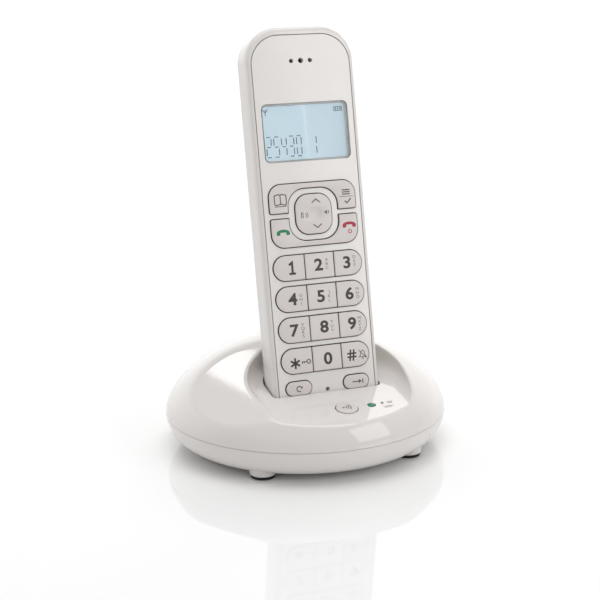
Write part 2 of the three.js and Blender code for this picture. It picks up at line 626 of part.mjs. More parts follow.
function buildHandset() {
  addPiece(handset, "handset_front_shell", frontShell(), WHITE_SHELL);
  addPiece(handset, "handset_face_plate", facePlate(), FACE_WHITE);
  addPiece(handset, "handset_rear_shell", rearShell(), WHITE_SHELL);
  const door = bodyWall.intersect(
    box(
      [-doorHalfWidth + GAP, splitBack + TUB_WALL, DOOR_BOTTOM + GAP],
      [doorHalfWidth - GAP, FAR, DOOR_TOP - GAP],
    ),
  );
  addPiece(handset, "battery_door", door, WHITE_SHELL);

  const window = plate(windowShape(0), WINDOW_SINK, WINDOW_THICKNESS);
  addPiece(handset, "display_window", window, CLEAR_WINDOW);
  const displayHalf = WINDOW_HALF_WIDTH + DISPLAY_MARGIN;
  const displayShape = roundedRect(
    -displayHalf,
    WINDOW_BOTTOM - DISPLAY_MARGIN,
    displayHalf,
    WINDOW_TOP + DISPLAY_MARGIN,
    SPLIT_CORNER,
  );
  const displayFront = wallBack + GAP;
  const displayBack = displayFront + DISPLAY_THICKNESS;
  addPiece(handset, "display_glass", plate(displayShape, displayFront, displayBack, 1), DISPLAY_BLUE);
  const lightFront = displayBack + GAP;
  const backlight = plate(displayShape, lightFront, lightFront + BACKLIGHT_THICKNESS, 1);
  addPiece(handset, "display_backlight", backlight, SOFT_GREY);

  const speakerFront = wallBack + GAP;
  const speakerBack = speakerFront + SPEAKER_THICKNESS;
  const speaker = postY(SPEAKER_RADIUS, 0, EARPIECE_V - SPEAKER_DROP, speakerFront, speakerBack, ROUND);
  addPiece(handset, "earpiece_speaker", speaker, DARK_PLASTIC);
  const mic = postY(MIC_RADIUS, 0, MIC_V, wallBack + GAP, boardFront - GAP);
  addPiece(handset, "microphone", mic, STEEL);
  const ringer = postY(RINGER_RADIUS, 0, RINGER_V, rearSkin - GAP - RINGER_THICKNESS, rearSkin - GAP, ROUND);
  addPiece(handset, "ringer_speaker", ringer, DARK_PLASTIC);

  const boardEdge = HANDSET_BOTTOM + HANDSET_WALL + BOARD_MARGIN;
  const micWay = postY(MIC_RADIUS + GAP, 0, MIC_V, membraneFront - 1, boardFront - GAP / 2);
  const membraneShape = roundedRect(
    -MEMBRANE_HALF_WIDTH,
    boardEdge,
    MEMBRANE_HALF_WIDTH,
    MEMBRANE_TOP,
    BOARD_CORNER,
  );
  const membrane = plate(membraneShape, membraneFront, membraneFront + MEMBRANE_THICKNESS, KEY_STEPS);
  addPiece(handset, "keypad_membrane", membrane.subtract(micWay), SOFT_GREY);
  const boardShape = roundedRect(-BOARD_HALF_WIDTH, boardEdge, BOARD_HALF_WIDTH, BOARD_TOP, BOARD_CORNER);
  const board = plate(boardShape, boardFront, boardBack, KEY_STEPS);
  const bossWays = sides.map((side) =>
    screwPost(side, HANDSET_SCREW_BOSS + GAP, boardFront - 1, boardBack + 1),
  );
  addPiece(handset, "handset_circuit_board", cutBy(board, bossWays), BOARD_GREEN);

  const cellTop = CELL_BOTTOM + CELL_LENGTH;
  for (const index of [-1, 0, 1]) {
    const x = index * cellPitch;
    const cell = postZ(CELL_RADIUS, x, cellDepth, CELL_BOTTOM, cellTop - CELL_CAP_HEIGHT, ROUND);
    const cap = postZ(CELL_CAP_RADIUS, x, cellDepth, CELL_BOTTOM + 1, cellTop, HOLE_ROUND);
    addPiece(handset, `battery_cell_${index + 2}`, cell.add(cap), CELL_WRAP);
  }
  const plugBottom = cellTop + GAP * 2;
  const plugFront = splitBack + TUB_WALL + GAP;
  const plug = box(
    [-PLUG_WIDTH / 2, plugFront, plugBottom],
    [PLUG_WIDTH / 2, plugFront + PLUG_THICKNESS, plugBottom + PLUG_LENGTH],
  );
  addPiece(handset, "battery_plug", plug, FACE_WHITE);

  for (const side of sides) {
    const hand = side < 0 ? "left" : "right";
    addPiece(handset, `charge_pad_${hand}`, padSolid(side, 0), CONTACT_GOLD);
    addPiece(handset, `handset_screw_${hand}`, handsetScrew(side), STEEL);
  }
}

// ---------------------------------------------------------------- keys, piece by piece

function buildKeys() {
  const names = ["1", "2", "3", "4", "5", "6", "7", "8", "9", "star", "0", "hash"];
  for (const row of rows) {
    for (const column of columns) {
      const name = `key_${names[row * columns.length + column]}`;
      addPiece(handset, name, rowKeySolid(row, column, -KEY_PROUD, KEY_DEPTH), KEY_GREY);
    }
  }
  addPiece(handset, "key_recall", smallKeySolid(-1, 0, -KEY_PROUD, KEY_DEPTH), KEY_GREY);
  addPiece(handset, "key_redial", smallKeySolid(1, 0, -KEY_PROUD, KEY_DEPTH), KEY_GREY);
  addPiece(handset, "call_rocker", rockerSolid(-1, 0, -KEY_PROUD, KEY_DEPTH), KEY_GREY);
  addPiece(handset, "menu_rocker", rockerSolid(1, 0, -KEY_PROUD, KEY_DEPTH), KEY_GREY);
  addPiece(handset, "navigation_key", navigationSolid(0, -KEY_PROUD, KEY_DEPTH), KEY_GREY);
  const domeEnds = [KEY_DEPTH + GAP, membraneFront - GAP];
  const dome = postY(NAVIGATION_DOME_RADIUS, 0, clusterMiddle, ...domeEnds, HOLE_ROUND);
  addPiece(handset, "navigation_dome", dome, SOFT_GREY);
}

// ---------------------------------------------------------------- base shells

// The frame of the bay's sloping floor: z along its normal, its origin below the handset's face.
const floorFrame = new THREE.Matrix4()
  .makeRotationX(Math.atan(FLOOR_SLOPE))
  .setPosition(SEAT.x, SEAT.y, SEAT.z);
const floorFrameInverse = floorFrame.clone().invert();

// A point of the floor under a given x and y, in the floor's own frame.
function onFloor(x, y) {
  const z = SEAT.z + FLOOR_SLOPE * (y - SEAT.y);
  return new THREE.Vector3(x, y, z).applyMatrix4(floorFrameInverse);
}

// The upper half of the base as a solid, set in by an amount: a dome with one shoulder trimmed flat.
function domeSolid(inset) {
  const radius = BASE_RADIUS - inset;
  const rise = DOME_RISE - inset;
  const skirtZ = PARTING_Z - 1;
  const profile = [
    [0, skirtZ],
    [radius, skirtZ],
  ];
  for (let step = 0; step < DOME_STEPS; step += 1) {
    const angle = (step / DOME_STEPS) * (Math.PI / 2);
    const out = radius * Math.cos(angle) ** (2 / DOME_POWER);
    profile.push([out, PARTING_Z + rise * Math.sin(angle) ** (2 / DOME_POWER)]);
  }
  profile.push([0, PARTING_Z + rise]);
  const dome = turned(profile, SHELL_ROUND);
  const up = new THREE.Vector3(0, 0, 1);
  const normal = new THREE.Vector3(-FACET_SLOPE_X, -FACET_SLOPE_Y, 1).normalize();
  const turn = new THREE.Quaternion().setFromUnitVectors(up, normal);
  const shelf = new THREE.Vector3(0, 0, FACET_HEIGHT).addScaledVector(normal, -inset);
  const facet = new THREE.Matrix4().makeRotationFromQuaternion(turn).setPosition(shelf);
  return dome.subtract(placed(box([-FAR, -FAR, 0], [FAR, FAR, FAR]), facet));
}

// The bay as a cutter with a rounded foot, grown by a wall.
function bayCutter(wall) {
  const half = HANDSET_WIDTH / 2 + BAY_SIDE_ROOM + wall;
  const rear = BAY_REAR_Y - SEAT.y + wall;
  const front = -BASE_RADIUS;
  const corner = BAY_CORNER + wall;
  const shape = roundedRect(-half, front, half, rear, [1, 1, corner, corner]);
  const options = {
    depth: BAY_DEPTH,
    bevelThickness: BAY_FILLET,
    bevelSize: BAY_FILLET,
    bevelSegments: BAY_FILLET_STEPS,
    curveSegments: ARC_STEPS,
  };
  const lifted = new THREE.ExtrudeGeometry(shape, options).translate(0, 0, BAY_FILLET - wall);
  return placed(solid(lifted), floorFrame);
}

// The well that the handset's foot stands in, grown by a wall, in the base's frame.
function wellCutter(wall) {
  const foot = HANDSET_BOTTOM - CRADLE_GAP - wall;
  return placed(handsetSection(-CRADLE_GAP - wall, foot, HANDSET_TOP / 2), handset.matrix);
}

function contactSlot(side) {
  const x = side * CONTACT_X;
  const half = CONTACT_WIDTH / 2 + GAP;
  const deep = CONTACT_THICKNESS / 2 + GAP;
  const foot = HANDSET_BOTTOM - CONTACT_LENGTH;
  const from = [x - half, CONTACT_DEPTH - deep, foot];
  const to = [x + half, CONTACT_DEPTH + deep, HANDSET_BOTTOM + 1];
  return placed(box(from, to), handset.matrix);
}

const screwPlaces = sides.flatMap((x) => sides.map((y) => [x * BASE_SCREW_X, y * BASE_SCREW_Y]));
const footPlaces = sides.flatMap((x) => sides.map((y) => [x * FOOT_X, y * FOOT_Y]));
const screwHeadZ = UNDERSIDE_Z + SCREW_RECESS;
const screwSeatZ = screwHeadZ + SCREW_HEAD_HEIGHT + GAP;
const bossFootZ = screwSeatZ + BASE_WALL + GAP;
const bossRadius = SCREW_SHANK_RADIUS + SCREW_BOSS_WALL;
const buttonPlace = onFloor(PAGE_BUTTON_X, PAGE_BUTTON_Y);
const lightPlace = onFloor(LIGHT_X, LIGHT_Y);

function topShell() {
  const seam = PARTING_Z + GAP / 2;
  const aboveSeam = box([-FAR, -FAR, seam], [FAR, FAR, FAR]);
  const outer = domeSolid(0);
  const hollow = cutBy(domeSolid(BASE_WALL), [bayCutter(BASE_WALL), wellCutter(BASE_WALL)]);
  const underDome = outer.add(box([-BASE_RADIUS, -BASE_RADIUS, 0], [BASE_RADIUS, BASE_RADIUS, PARTING_Z]));
  const bosses = screwPlaces.map(([x, y]) => postZ(bossRadius, x, y, bossFootZ, FAR).intersect(underDome));
  const screwTipZ = screwHeadZ + BASE_SCREW_LENGTH + GAP;
  const screwHoles = screwPlaces.map(([x, y]) =>
    postZ(SCREW_SHANK_RADIUS + GAP, x, y, 0, screwTipZ, HOLE_ROUND),
  );
  const past = BASE_WALL * 3;
  const buttonHole = placed(
    postZ(PAGE_BUTTON_RADIUS + KEY_GAP, buttonPlace.x, buttonPlace.y, -past, past, ROUND),
    floorFrame,
  );
  const lightHole = placed(postZ(LIGHT_RADIUS + GAP, lightPlace.x, lightPlace.y, -past, past), floorFrame);
  const shell = joined([outer.intersect(aboveSeam).subtract(hollow), ...bosses]);
  return cutBy(shell, [
    bayCutter(0),
    wellCutter(0),
    ...screwHoles,
    buttonHole,
    lightHole,
    ...sides.map((side) => contactSlot(side)),
  ]);
}

// The lower half of the base as a solid up to a rim, set in by an amount.
function bowlSolid(inset, rimZ) {
  const rise = PARTING_Z - UNDERSIDE_Z;
  const bulge = BASE_RADIUS - UNDERSIDE_RADIUS;
  const profile = [[0, UNDERSIDE_Z + inset]];
  for (let step = 0; step < BOWL_STEPS; step += 1) {
    const angle = (step / BOWL_STEPS) * (Math.PI / 2);
    const out = UNDERSIDE_RADIUS + (bulge - inset) * Math.sin(angle);
    profile.push([out, PARTING_Z - (rise - inset) * Math.cos(angle)]);
  }
  profile.push([BASE_RADIUS - inset, rimZ], [0, rimZ]);
  return turned(profile, SHELL_ROUND);
}

const innerFloorZ = UNDERSIDE_Z + BASE_WALL;
const baseBoardZ = innerFloorZ + GAP;
const jackZ = baseBoardZ + BOARD_THICKNESS + GAP;
const jackBayZ = jackZ - GAP;

function bottomShell() {
  const rimZ = PARTING_Z - GAP / 2;
  const outer = bowlSolid(0, rimZ);
  const skin = outer.subtract(bowlSolid(BASE_WALL, PARTING_Z + 1));
  const bayBlock = box(
    [-JACK_BAY_HALF_WIDTH - BASE_WALL, JACK_BAY_Y - BASE_WALL, UNDERSIDE_Z + 1],
    [JACK_BAY_HALF_WIDTH + BASE_WALL, BASE_RADIUS, rimZ],
  );
  const footBosses = footPlaces.map(([x, y]) =>
    postZ(FOOT_BOSS_RADIUS, x, y, FOOT_BOSS_Z, innerFloorZ, ROUND),
  );
  const footSeats = footPlaces.map(([x, y]) => postZ(FOOT_RADIUS + GAP, x, y, 0, FOOT_HEIGHT + GAP, ROUND));
  const headWay = SCREW_HEAD_RADIUS + GAP;
  const screwPillars = screwPlaces.map(([x, y]) =>
    postZ(headWay + BASE_WALL / 2, x, y, UNDERSIDE_Z + BASE_WALL / 4, screwSeatZ + BASE_WALL),
  );
  const headWays = screwPlaces.map(([x, y]) => postZ(headWay, x, y, 0, screwSeatZ));
  const shankWays = screwPlaces.map(([x, y]) => postZ(SCREW_SHANK_RADIUS + GAP, x, y, 0, FAR, HOLE_ROUND));
  const jackBay = box([-JACK_BAY_HALF_WIDTH, JACK_BAY_Y, jackBayZ], [JACK_BAY_HALF_WIDTH, FAR, FAR]);
  const shell = joined([skin, bayBlock.intersect(outer), ...footBosses, ...screwPillars]);
  return cutBy(shell, [
    ...footSeats,
    ...headWays,
    ...shankWays,
    jackBay,
    jackWay(LINE_JACK_X, LINE_JACK_WIDTH),
    jackWay(POWER_JACK_X, POWER_JACK_WIDTH),
  ]);
}

// The way through the bay's wall for one jack.
function jackWay(x, width) {
  const half = width / 2 + GAP;
  return box([x - half, JACK_BAY_Y - BASE_WALL - 1, jackBayZ], [x + half, JACK_BAY_Y + 1, FAR]);
}

// ---------------------------------------------------------------- base, piece by piece

// A jack's body, its face flush with the bay's wall.
function jackBody(x, width) {
  const from = [x - width / 2, JACK_BAY_Y - JACK_DEPTH, jackZ];
  return box(from, [x + width / 2, JACK_BAY_Y, jackZ + JACK_HEIGHT]);
}

function lineJack() {
  const low = jackZ + (JACK_HEIGHT - LINE_SOCKET_HEIGHT) / 2;
  const half = LINE_SOCKET_WIDTH / 2;
  const socket = box(
    [LINE_JACK_X - half, JACK_BAY_Y - LINE_SOCKET_DEPTH, low],
    [LINE_JACK_X + half, JACK_BAY_Y + 1, low + LINE_SOCKET_HEIGHT],
  );
  return jackBody(LINE_JACK_X, LINE_JACK_WIDTH).subtract(socket);
}

function powerJack() {
  const middleZ = jackZ + JACK_HEIGHT / 2;
  const foot = JACK_BAY_Y - POWER_BARREL_DEPTH;
  const barrel = postY(POWER_BARREL_RADIUS, POWER_JACK_X, middleZ, foot, JACK_BAY_Y + 1);
  const pin = postY(POWER_PIN_RADIUS, POWER_JACK_X, middleZ, foot - 1, JACK_BAY_Y - 1, HOLE_ROUND);
  return jackBody(POWER_JACK_X, POWER_JACK_WIDTH).subtract(barrel).add(pin);
}

function chargeContact(side) {
  const x = side * CONTACT_X;
  const tip = HANDSET_BOTTOM - GAP;
  const half = CONTACT_THICKNESS / 2;
  const round = half - NEARLY;
  const shape = roundedRect(
    CONTACT_DEPTH - half,
    tip - CONTACT_LENGTH,
    CONTACT_DEPTH + half,
    tip,
    [SPLIT_CORNER, SPLIT_CORNER, round, round],
  );
  const strip = prism(shape, x - CONTACT_WIDTH / 2, x + CONTACT_WIDTH / 2, KEY_STEPS);
  return placed(placed(strip, LYING), handset.matrix);
}

// A turned button with a plunger below its cap, on the floor's frame.
function pageButton() {
  const profile = [
    [0, -PAGE_PLUNGER_LENGTH],
    [PAGE_PLUNGER_RADIUS, -PAGE_PLUNGER_LENGTH],
    [PAGE_PLUNGER_RADIUS, -PAGE_BUTTON_FLANGE],
    [PAGE_BUTTON_RADIUS, -PAGE_BUTTON_FLANGE],
    [PAGE_BUTTON_RADIUS, PAGE_BUTTON_PROUD - PAGE_BUTTON_EDGE],
    [PAGE_BUTTON_RADIUS - PAGE_BUTTON_EDGE, PAGE_BUTTON_PROUD],
    [0, PAGE_BUTTON_PROUD],
  ];
  const button = turned(profile, ROUND);
  return placed(button.translate([buttonPlace.x, buttonPlace.y, 0]), floorFrame);
}

function buildBase() {
  addPiece(root, "base_top_shell", topShell(), WHITE_SHELL);
  addPiece(root, "base_bottom_shell", bottomShell(), WHITE_SHELL);
  const half = BASE_BOARD_HALF_WIDTH;
  const corners = [BOARD_CORNER, BOARD_CORNER, BASE_BOARD_CORNER, BASE_BOARD_CORNER];
  const boardShape = roundedRect(-half, BASE_BOARD_FRONT_Y, half, BASE_BOARD_REAR_Y, corners);
  const board = prism(boardShape, baseBoardZ, baseBoardZ + BOARD_THICKNESS);
  addPiece(root, "base_circuit_board", board, BOARD_GREEN);
  addPiece(root, "line_jack", lineJack(), DARK_PLASTIC);
  addPiece(root, "power_jack", powerJack(), DARK_PLASTIC);

  footPlaces.forEach(([x, y], index) => {
    addPiece(root, `base_foot_${index + 1}`, postZ(FOOT_RADIUS, x, y, 0, FOOT_HEIGHT, ROUND), BLACK_RUBBER);
  });
  screwPlaces.forEach(([x, y], index) => {
    addPiece(root, `base_screw_${index + 1}`, baseScrew(x, y), STEEL);
  });
  addPiece(root, "charge_contact_left", chargeContact(-1), CONTACT_GOLD);
  addPiece(root, "charge_contact_right", chargeContact(1), CONTACT_GOLD);

  addPiece(root, "page_button", pageButton(), FACE_WHITE);
  const switchTop = -PAGE_PLUNGER_LENGTH - PAGE_BUTTON_TRAVEL - GAP;
  const switchHalf = PAGE_SWITCH_SIZE / 2;
  const pageSwitch = box(
    [buttonPlace.x - switchHalf, buttonPlace.y - switchHalf, -FRONT_BOARD_DROP + GAP],
    [buttonPlace.x + switchHalf, buttonPlace.y + switchHalf, switchTop],
  );
  addPiece(root, "page_switch", placed(pageSwitch, floorFrame), DARK_PLASTIC);
  const light = postZ(LIGHT_RADIUS, lightPlace.x, lightPlace.y, -LIGHT_LENGTH, LIGHT_PROUD);
  addPiece(root, "status_light_pipe", placed(light, floorFrame), LIGHT_GREEN);
  const middleX = (buttonPlace.x + lightPlace.x) / 2;
  const halfLength = FRONT_BOARD_LENGTH / 2;
  const halfWidth = FRONT_BOARD_WIDTH / 2;
  const frontBoard = box(
    [middleX - halfLength, buttonPlace.y - halfWidth, -FRONT_BOARD_DROP - BOARD_THICKNESS],
    [middleX + halfLength, buttonPlace.y + halfWidth, -FRONT_BOARD_DROP],
  );
  addPiece(root, "front_circuit_board", placed(frontBoard, floorFrame), BOARD_GREEN);
}

buildBase();
buildHandset();
buildKeys();

export default root;
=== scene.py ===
"""A cordless phone in its round charging base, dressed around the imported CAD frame.

Every length is in millimetres until a mesh is finished, when it is scaled to metres. The handset has a
frame of its own: x across its face, y into it from the front, z up along it.
"""
import json
import logging
import math
from dataclasses import dataclass, field
from enum import Enum
from typing import Any, Iterable, Sequence

import bmesh
import bpy
from mathutils import Matrix, Quaternion, Vector


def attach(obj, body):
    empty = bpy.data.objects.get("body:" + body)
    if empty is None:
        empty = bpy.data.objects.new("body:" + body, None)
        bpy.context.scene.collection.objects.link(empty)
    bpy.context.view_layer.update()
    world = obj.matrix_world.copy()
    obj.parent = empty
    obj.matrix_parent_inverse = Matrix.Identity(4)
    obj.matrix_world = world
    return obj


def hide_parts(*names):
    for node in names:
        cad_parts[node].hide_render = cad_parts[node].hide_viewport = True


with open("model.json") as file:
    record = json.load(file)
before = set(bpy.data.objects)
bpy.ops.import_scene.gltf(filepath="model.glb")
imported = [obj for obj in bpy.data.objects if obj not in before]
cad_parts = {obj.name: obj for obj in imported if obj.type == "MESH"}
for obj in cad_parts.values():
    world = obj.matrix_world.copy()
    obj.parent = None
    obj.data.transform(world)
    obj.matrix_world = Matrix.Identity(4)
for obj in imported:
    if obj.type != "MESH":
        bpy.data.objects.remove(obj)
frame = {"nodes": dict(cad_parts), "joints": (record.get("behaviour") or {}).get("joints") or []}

LOG = logging.getLogger("phone")
MM = 0.001
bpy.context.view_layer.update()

Outline = list[tuple[float, float]]
Corner = tuple[float, float, float]


def joint_axis(name: str) -> Vector:
    """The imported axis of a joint, as a unit vector."""
    found = next(joint for joint in frame["joints"] if joint["name"] == name)
    return Vector(found["axis"]).normalized()


LIFT = joint_axis("handset_lift")
FLOOR_DOWN = joint_axis("page_button_press")
LEAN = math.atan2(LIFT.y, LIFT.z)
FLOOR_TILT = math.atan2(FLOOR_DOWN.y, -FLOOR_DOWN.z)
SEAT = Vector((0.0, -28.8, 30.3))
HANDSET = Matrix.Translation(SEAT) @ Matrix.Rotation(-LEAN, 4, "X")
FLOOR = Matrix.Translation(SEAT) @ Matrix.Rotation(FLOOR_TILT, 4, "X")
FACE = Matrix.Rotation(math.pi / 2, 4, "X")
# The gap left round every piece that is let into another.
SHUT = 0.35


# ---------------------------------------------------------------- finishes


def linear(hex_code: str) -> tuple[float, float, float, float]:
    """Turns an sRGB hex colour into the linear colour that a shader takes.

    Args:
        hex_code: Six hex digits, such as "E8E4E1".

    Returns:
        The linear red, green and blue, and an alpha of 1.
    """
    parts = [int(hex_code[at : at + 2], 16) / 255 for at in (0, 2, 4)]
    low = [part / 12.92 if part <= 0.04045 else ((part + 0.055) / 1.055) ** 2.4 for part in parts]
    return (low[0], low[1], low[2], 1.0)


def add_node(
    tree: bpy.types.NodeTree, kind: str, inputs: dict | None = None, **settings: Any
) -> bpy.types.Node:
    """Adds one node to a tree with its settings, values and links.

    Args:
        tree: The shader or geometry tree.
        kind: Blender's name for the node's type.
        inputs: What each input takes, by its name or number: a value, or another node's output.
        **settings: Properties of the node itself.

    Returns:
        The new node.
    """
    node = tree.nodes.new(kind)
    for name, value in settings.items():
        setattr(node, name, value)
    for key, value in (inputs or {}).items():
        if isinstance(value, bpy.types.NodeSocket):
            tree.links.new(value, node.inputs[key])
        else:
            node.inputs[key].default_value = value
    return node


def new_material(name: str) -> tuple[bpy.types.Material, bpy.types.NodeTree, bpy.types.NodeSocket]:
    """Starts a material: the material, its empty node tree, and the object's own coordinates."""
    material = bpy.data.materials.new(name)
    material.use_nodes = True
    tree = material.node_tree
    tree.nodes.clear()
    place = add_node(tree, "ShaderNodeTexCoord").outputs["Object"]
    return material, tree, place


def close_material(tree: bpy.types.NodeTree, shader: bpy.types.Node) -> None:
    """Joins a shader to the tree's output."""
    add_node(tree, "ShaderNodeOutputMaterial", {"Surface": shader.outputs[0]})


def cells_per_metre(size_mm: float) -> float:
    """A noise scale that gives features of about that size in millimetres."""
    return 1.0 / (size_mm * MM)


@dataclass(frozen=True)
class Moulding:
    """A moulded plastic or rubber: one colour, slightly mottled, with the mould's fine texture.

    Attributes:
        name: The material's name.
        colour: Its sRGB hex colour.
        shade: The hex colour of its slightly darker patches.
        roughness: Its lowest and highest roughness.
        ior: Its index of refraction.
        patch_mm: The width of a patch of colour.
        grain_mm: The width of the mould's grain.
        relief_mm: The grain's depth.
        glow: How much of its own colour it gives off.
    """

    name: str
    colour: str
    shade: str
    roughness: tuple[float, float]
    ior: float = 1.54
    patch_mm: float = 18.0
    grain_mm: float = 0.5
    relief_mm: float = 0.004
    glow: float = 0.0

    def material(self) -> bpy.types.Material:
        """Builds the material's nodes."""
        material, tree, place = new_material(self.name)
        patches = add_node(
            tree,
            "ShaderNodeTexNoise",
            {"Vector": place, "Scale": cells_per_metre(self.patch_mm), "Detail": 3.0},
        )
        colour = add_node(
            tree,
            "ShaderNodeMix",
            {0: patches.outputs["Fac"], 6: linear(self.shade), 7: linear(self.colour)},
            data_type="RGBA",
        )
        wear = add_node(
            tree,
            "ShaderNodeTexNoise",
            {"Vector": place, "Scale": cells_per_metre(self.grain_mm * 9), "Detail": 4.0},
        )
        rough = add_node(
            tree,
            "ShaderNodeMapRange",
            {"Value": wear.outputs["Fac"], "To Min": self.roughness[0], "To Max": self.roughness[1]},
        )
        grain = add_node(
            tree,
            "ShaderNodeTexNoise",
            {"Vector": place, "Scale": cells_per_metre(self.grain_mm), "Detail": 2.0},
        )
        bump = add_node(
            tree,
            "ShaderNodeBump",
            {"Height": grain.outputs["Fac"], "Distance": self.relief_mm * MM, "Strength": 1.0},
        )
        shader = add_node(
            tree,
            "ShaderNodeBsdfPrincipled",
            {
                "Base Color": colour.outputs[2],
                "Roughness": rough.outputs["Result"],
                "Normal": bump.outputs["Normal"],
                "IOR": self.ior,
                "Emission Strength": self.glow,
            },
        )
        if self.glow:
            tree.links.new(colour.outputs[2], shader.inputs["Emission Color"])
        close_material(tree, shader)
        return material


@dataclass(frozen=True)
class Plating:
    """A plated or bare metal, with fine brush marks along one direction.

    Attributes:
        name: The material's name.
        colour: Its sRGB hex colour.
        roughness: Its lowest and highest roughness.
        brush_mm: The width of a brush mark.
    """

    name: str
    colour: str
    roughness: tuple[float, float]
    brush_mm: float = 0.25

    def material(self) -> bpy.types.Material:
        """Builds the material's nodes."""
        material, tree, place = new_material(self.name)
        stretch = add_node(tree, "ShaderNodeMapping", {"Vector": place, "Scale": (1.0, 0.15, 1.0)})
        marks = add_node(
            tree,
            "ShaderNodeTexNoise",
            {"Vector": stretch.outputs[0], "Scale": cells_per_metre(self.brush_mm), "Detail": 3.0},
        )
        rough = add_node(
            tree,
            "ShaderNodeMapRange",
            {"Value": marks.outputs["Fac"], "To Min": self.roughness[0], "To Max": self.roughness[1]},
        )
        bump = add_node(
            tree, "ShaderNodeBump", {"Height": marks.outputs["Fac"], "Distance": 0.003 * MM, "Strength": 1.0}
        )
        shader = add_node(
            tree,
            "ShaderNodeBsdfPrincipled",
            {
                "Base Color": linear(self.colour),
                "Metallic": 1.0,
                "Roughness": rough.outputs["Result"],
                "Normal": bump.outputs["Normal"],
            },
        )
        close_material(tree, shader)
        return material


@dataclass(frozen=True)
class ClearSheet:
    """A clear moulded sheet, with faint wiping marks in its polish.

    Attributes:
        name: The material's name.
        tint: Its sRGB hex colour.
        ior: Its index of refraction.
    """

    name: str
    tint: str
    ior: float = 1.49

    def material(self) -> bpy.types.Material:
        """Builds the material's nodes."""
        material, tree, place = new_material(self.name)
        smears = add_node(
            tree, "ShaderNodeTexNoise", {"Vector": place, "Scale": cells_per_metre(7.0), "Detail": 3.0}
        )
        rough = add_node(
            tree, "ShaderNodeMapRange", {"Value": smears.outputs["Fac"], "To Min": 0.0, "To Max": 0.05}
        )
        shader = add_node(
            tree,
            "ShaderNodeBsdfPrincipled",
            {
                "Base Color": linear(self.tint),
                "Roughness": rough.outputs["Result"],
                "IOR": self.ior,
                "Transmission Weight": 1.0,
            },
        )
        close_material(tree, shader)
        return material


@dataclass(frozen=True)
class Backlit:
    """A liquid crystal panel lit from its edge: a faint dot grid over a glow that is uneven in soft patches.

    Attributes:
        name: The material's name.
        bright: The sRGB hex colour where it is brightest.
        dim: The hex colour where it is dimmest.
        dot_mm: The pitch of its dots, drawn coarse enough to show.
        glow: How strongly it shines.
    """

    name: str
    bright: str
    dim: str
    dot_mm: float = 0.6
    glow: float = 0.3

    def material(self) -> bpy.types.Material:
        """Builds the material's nodes."""
        material, tree, place = new_material(self.name)
        clouds = add_node(
            tree, "ShaderNodeTexNoise", {"Vector": place, "Scale": cells_per_metre(28.0), "Detail": 1.0}
        )
        base = add_node(
            tree,
            "ShaderNodeMix",
            {0: clouds.outputs["Fac"], 6: linear(self.dim), 7: linear(self.bright)},
            data_type="RGBA",
        )
        dots = add_node(
            tree,
            "ShaderNodeTexVoronoi",
            {"Vector": place, "Scale": cells_per_metre(self.dot_mm), "Randomness": 0.0},
        )
        share = add_node(
            tree, "ShaderNodeMapRange", {"Value": dots.outputs["Distance"], "To Min": 0.0, "To Max": 0.06}
        )
        colour = add_node(
            tree,
            "ShaderNodeMix",
            {0: share.outputs["Result"], 6: base.outputs[2], 7: linear(self.dim)},
            data_type="RGBA",
        )
        shader = add_node(
            tree,
            "ShaderNodeBsdfPrincipled",
            {
                "Base Color": colour.outputs[2],
                "Emission Color": colour.outputs[2],
                "Emission Strength": self.glow,
                "Roughness": 0.3,
                "IOR": 1.52,
            },
        )
        close_material(tree, shader)
        return material


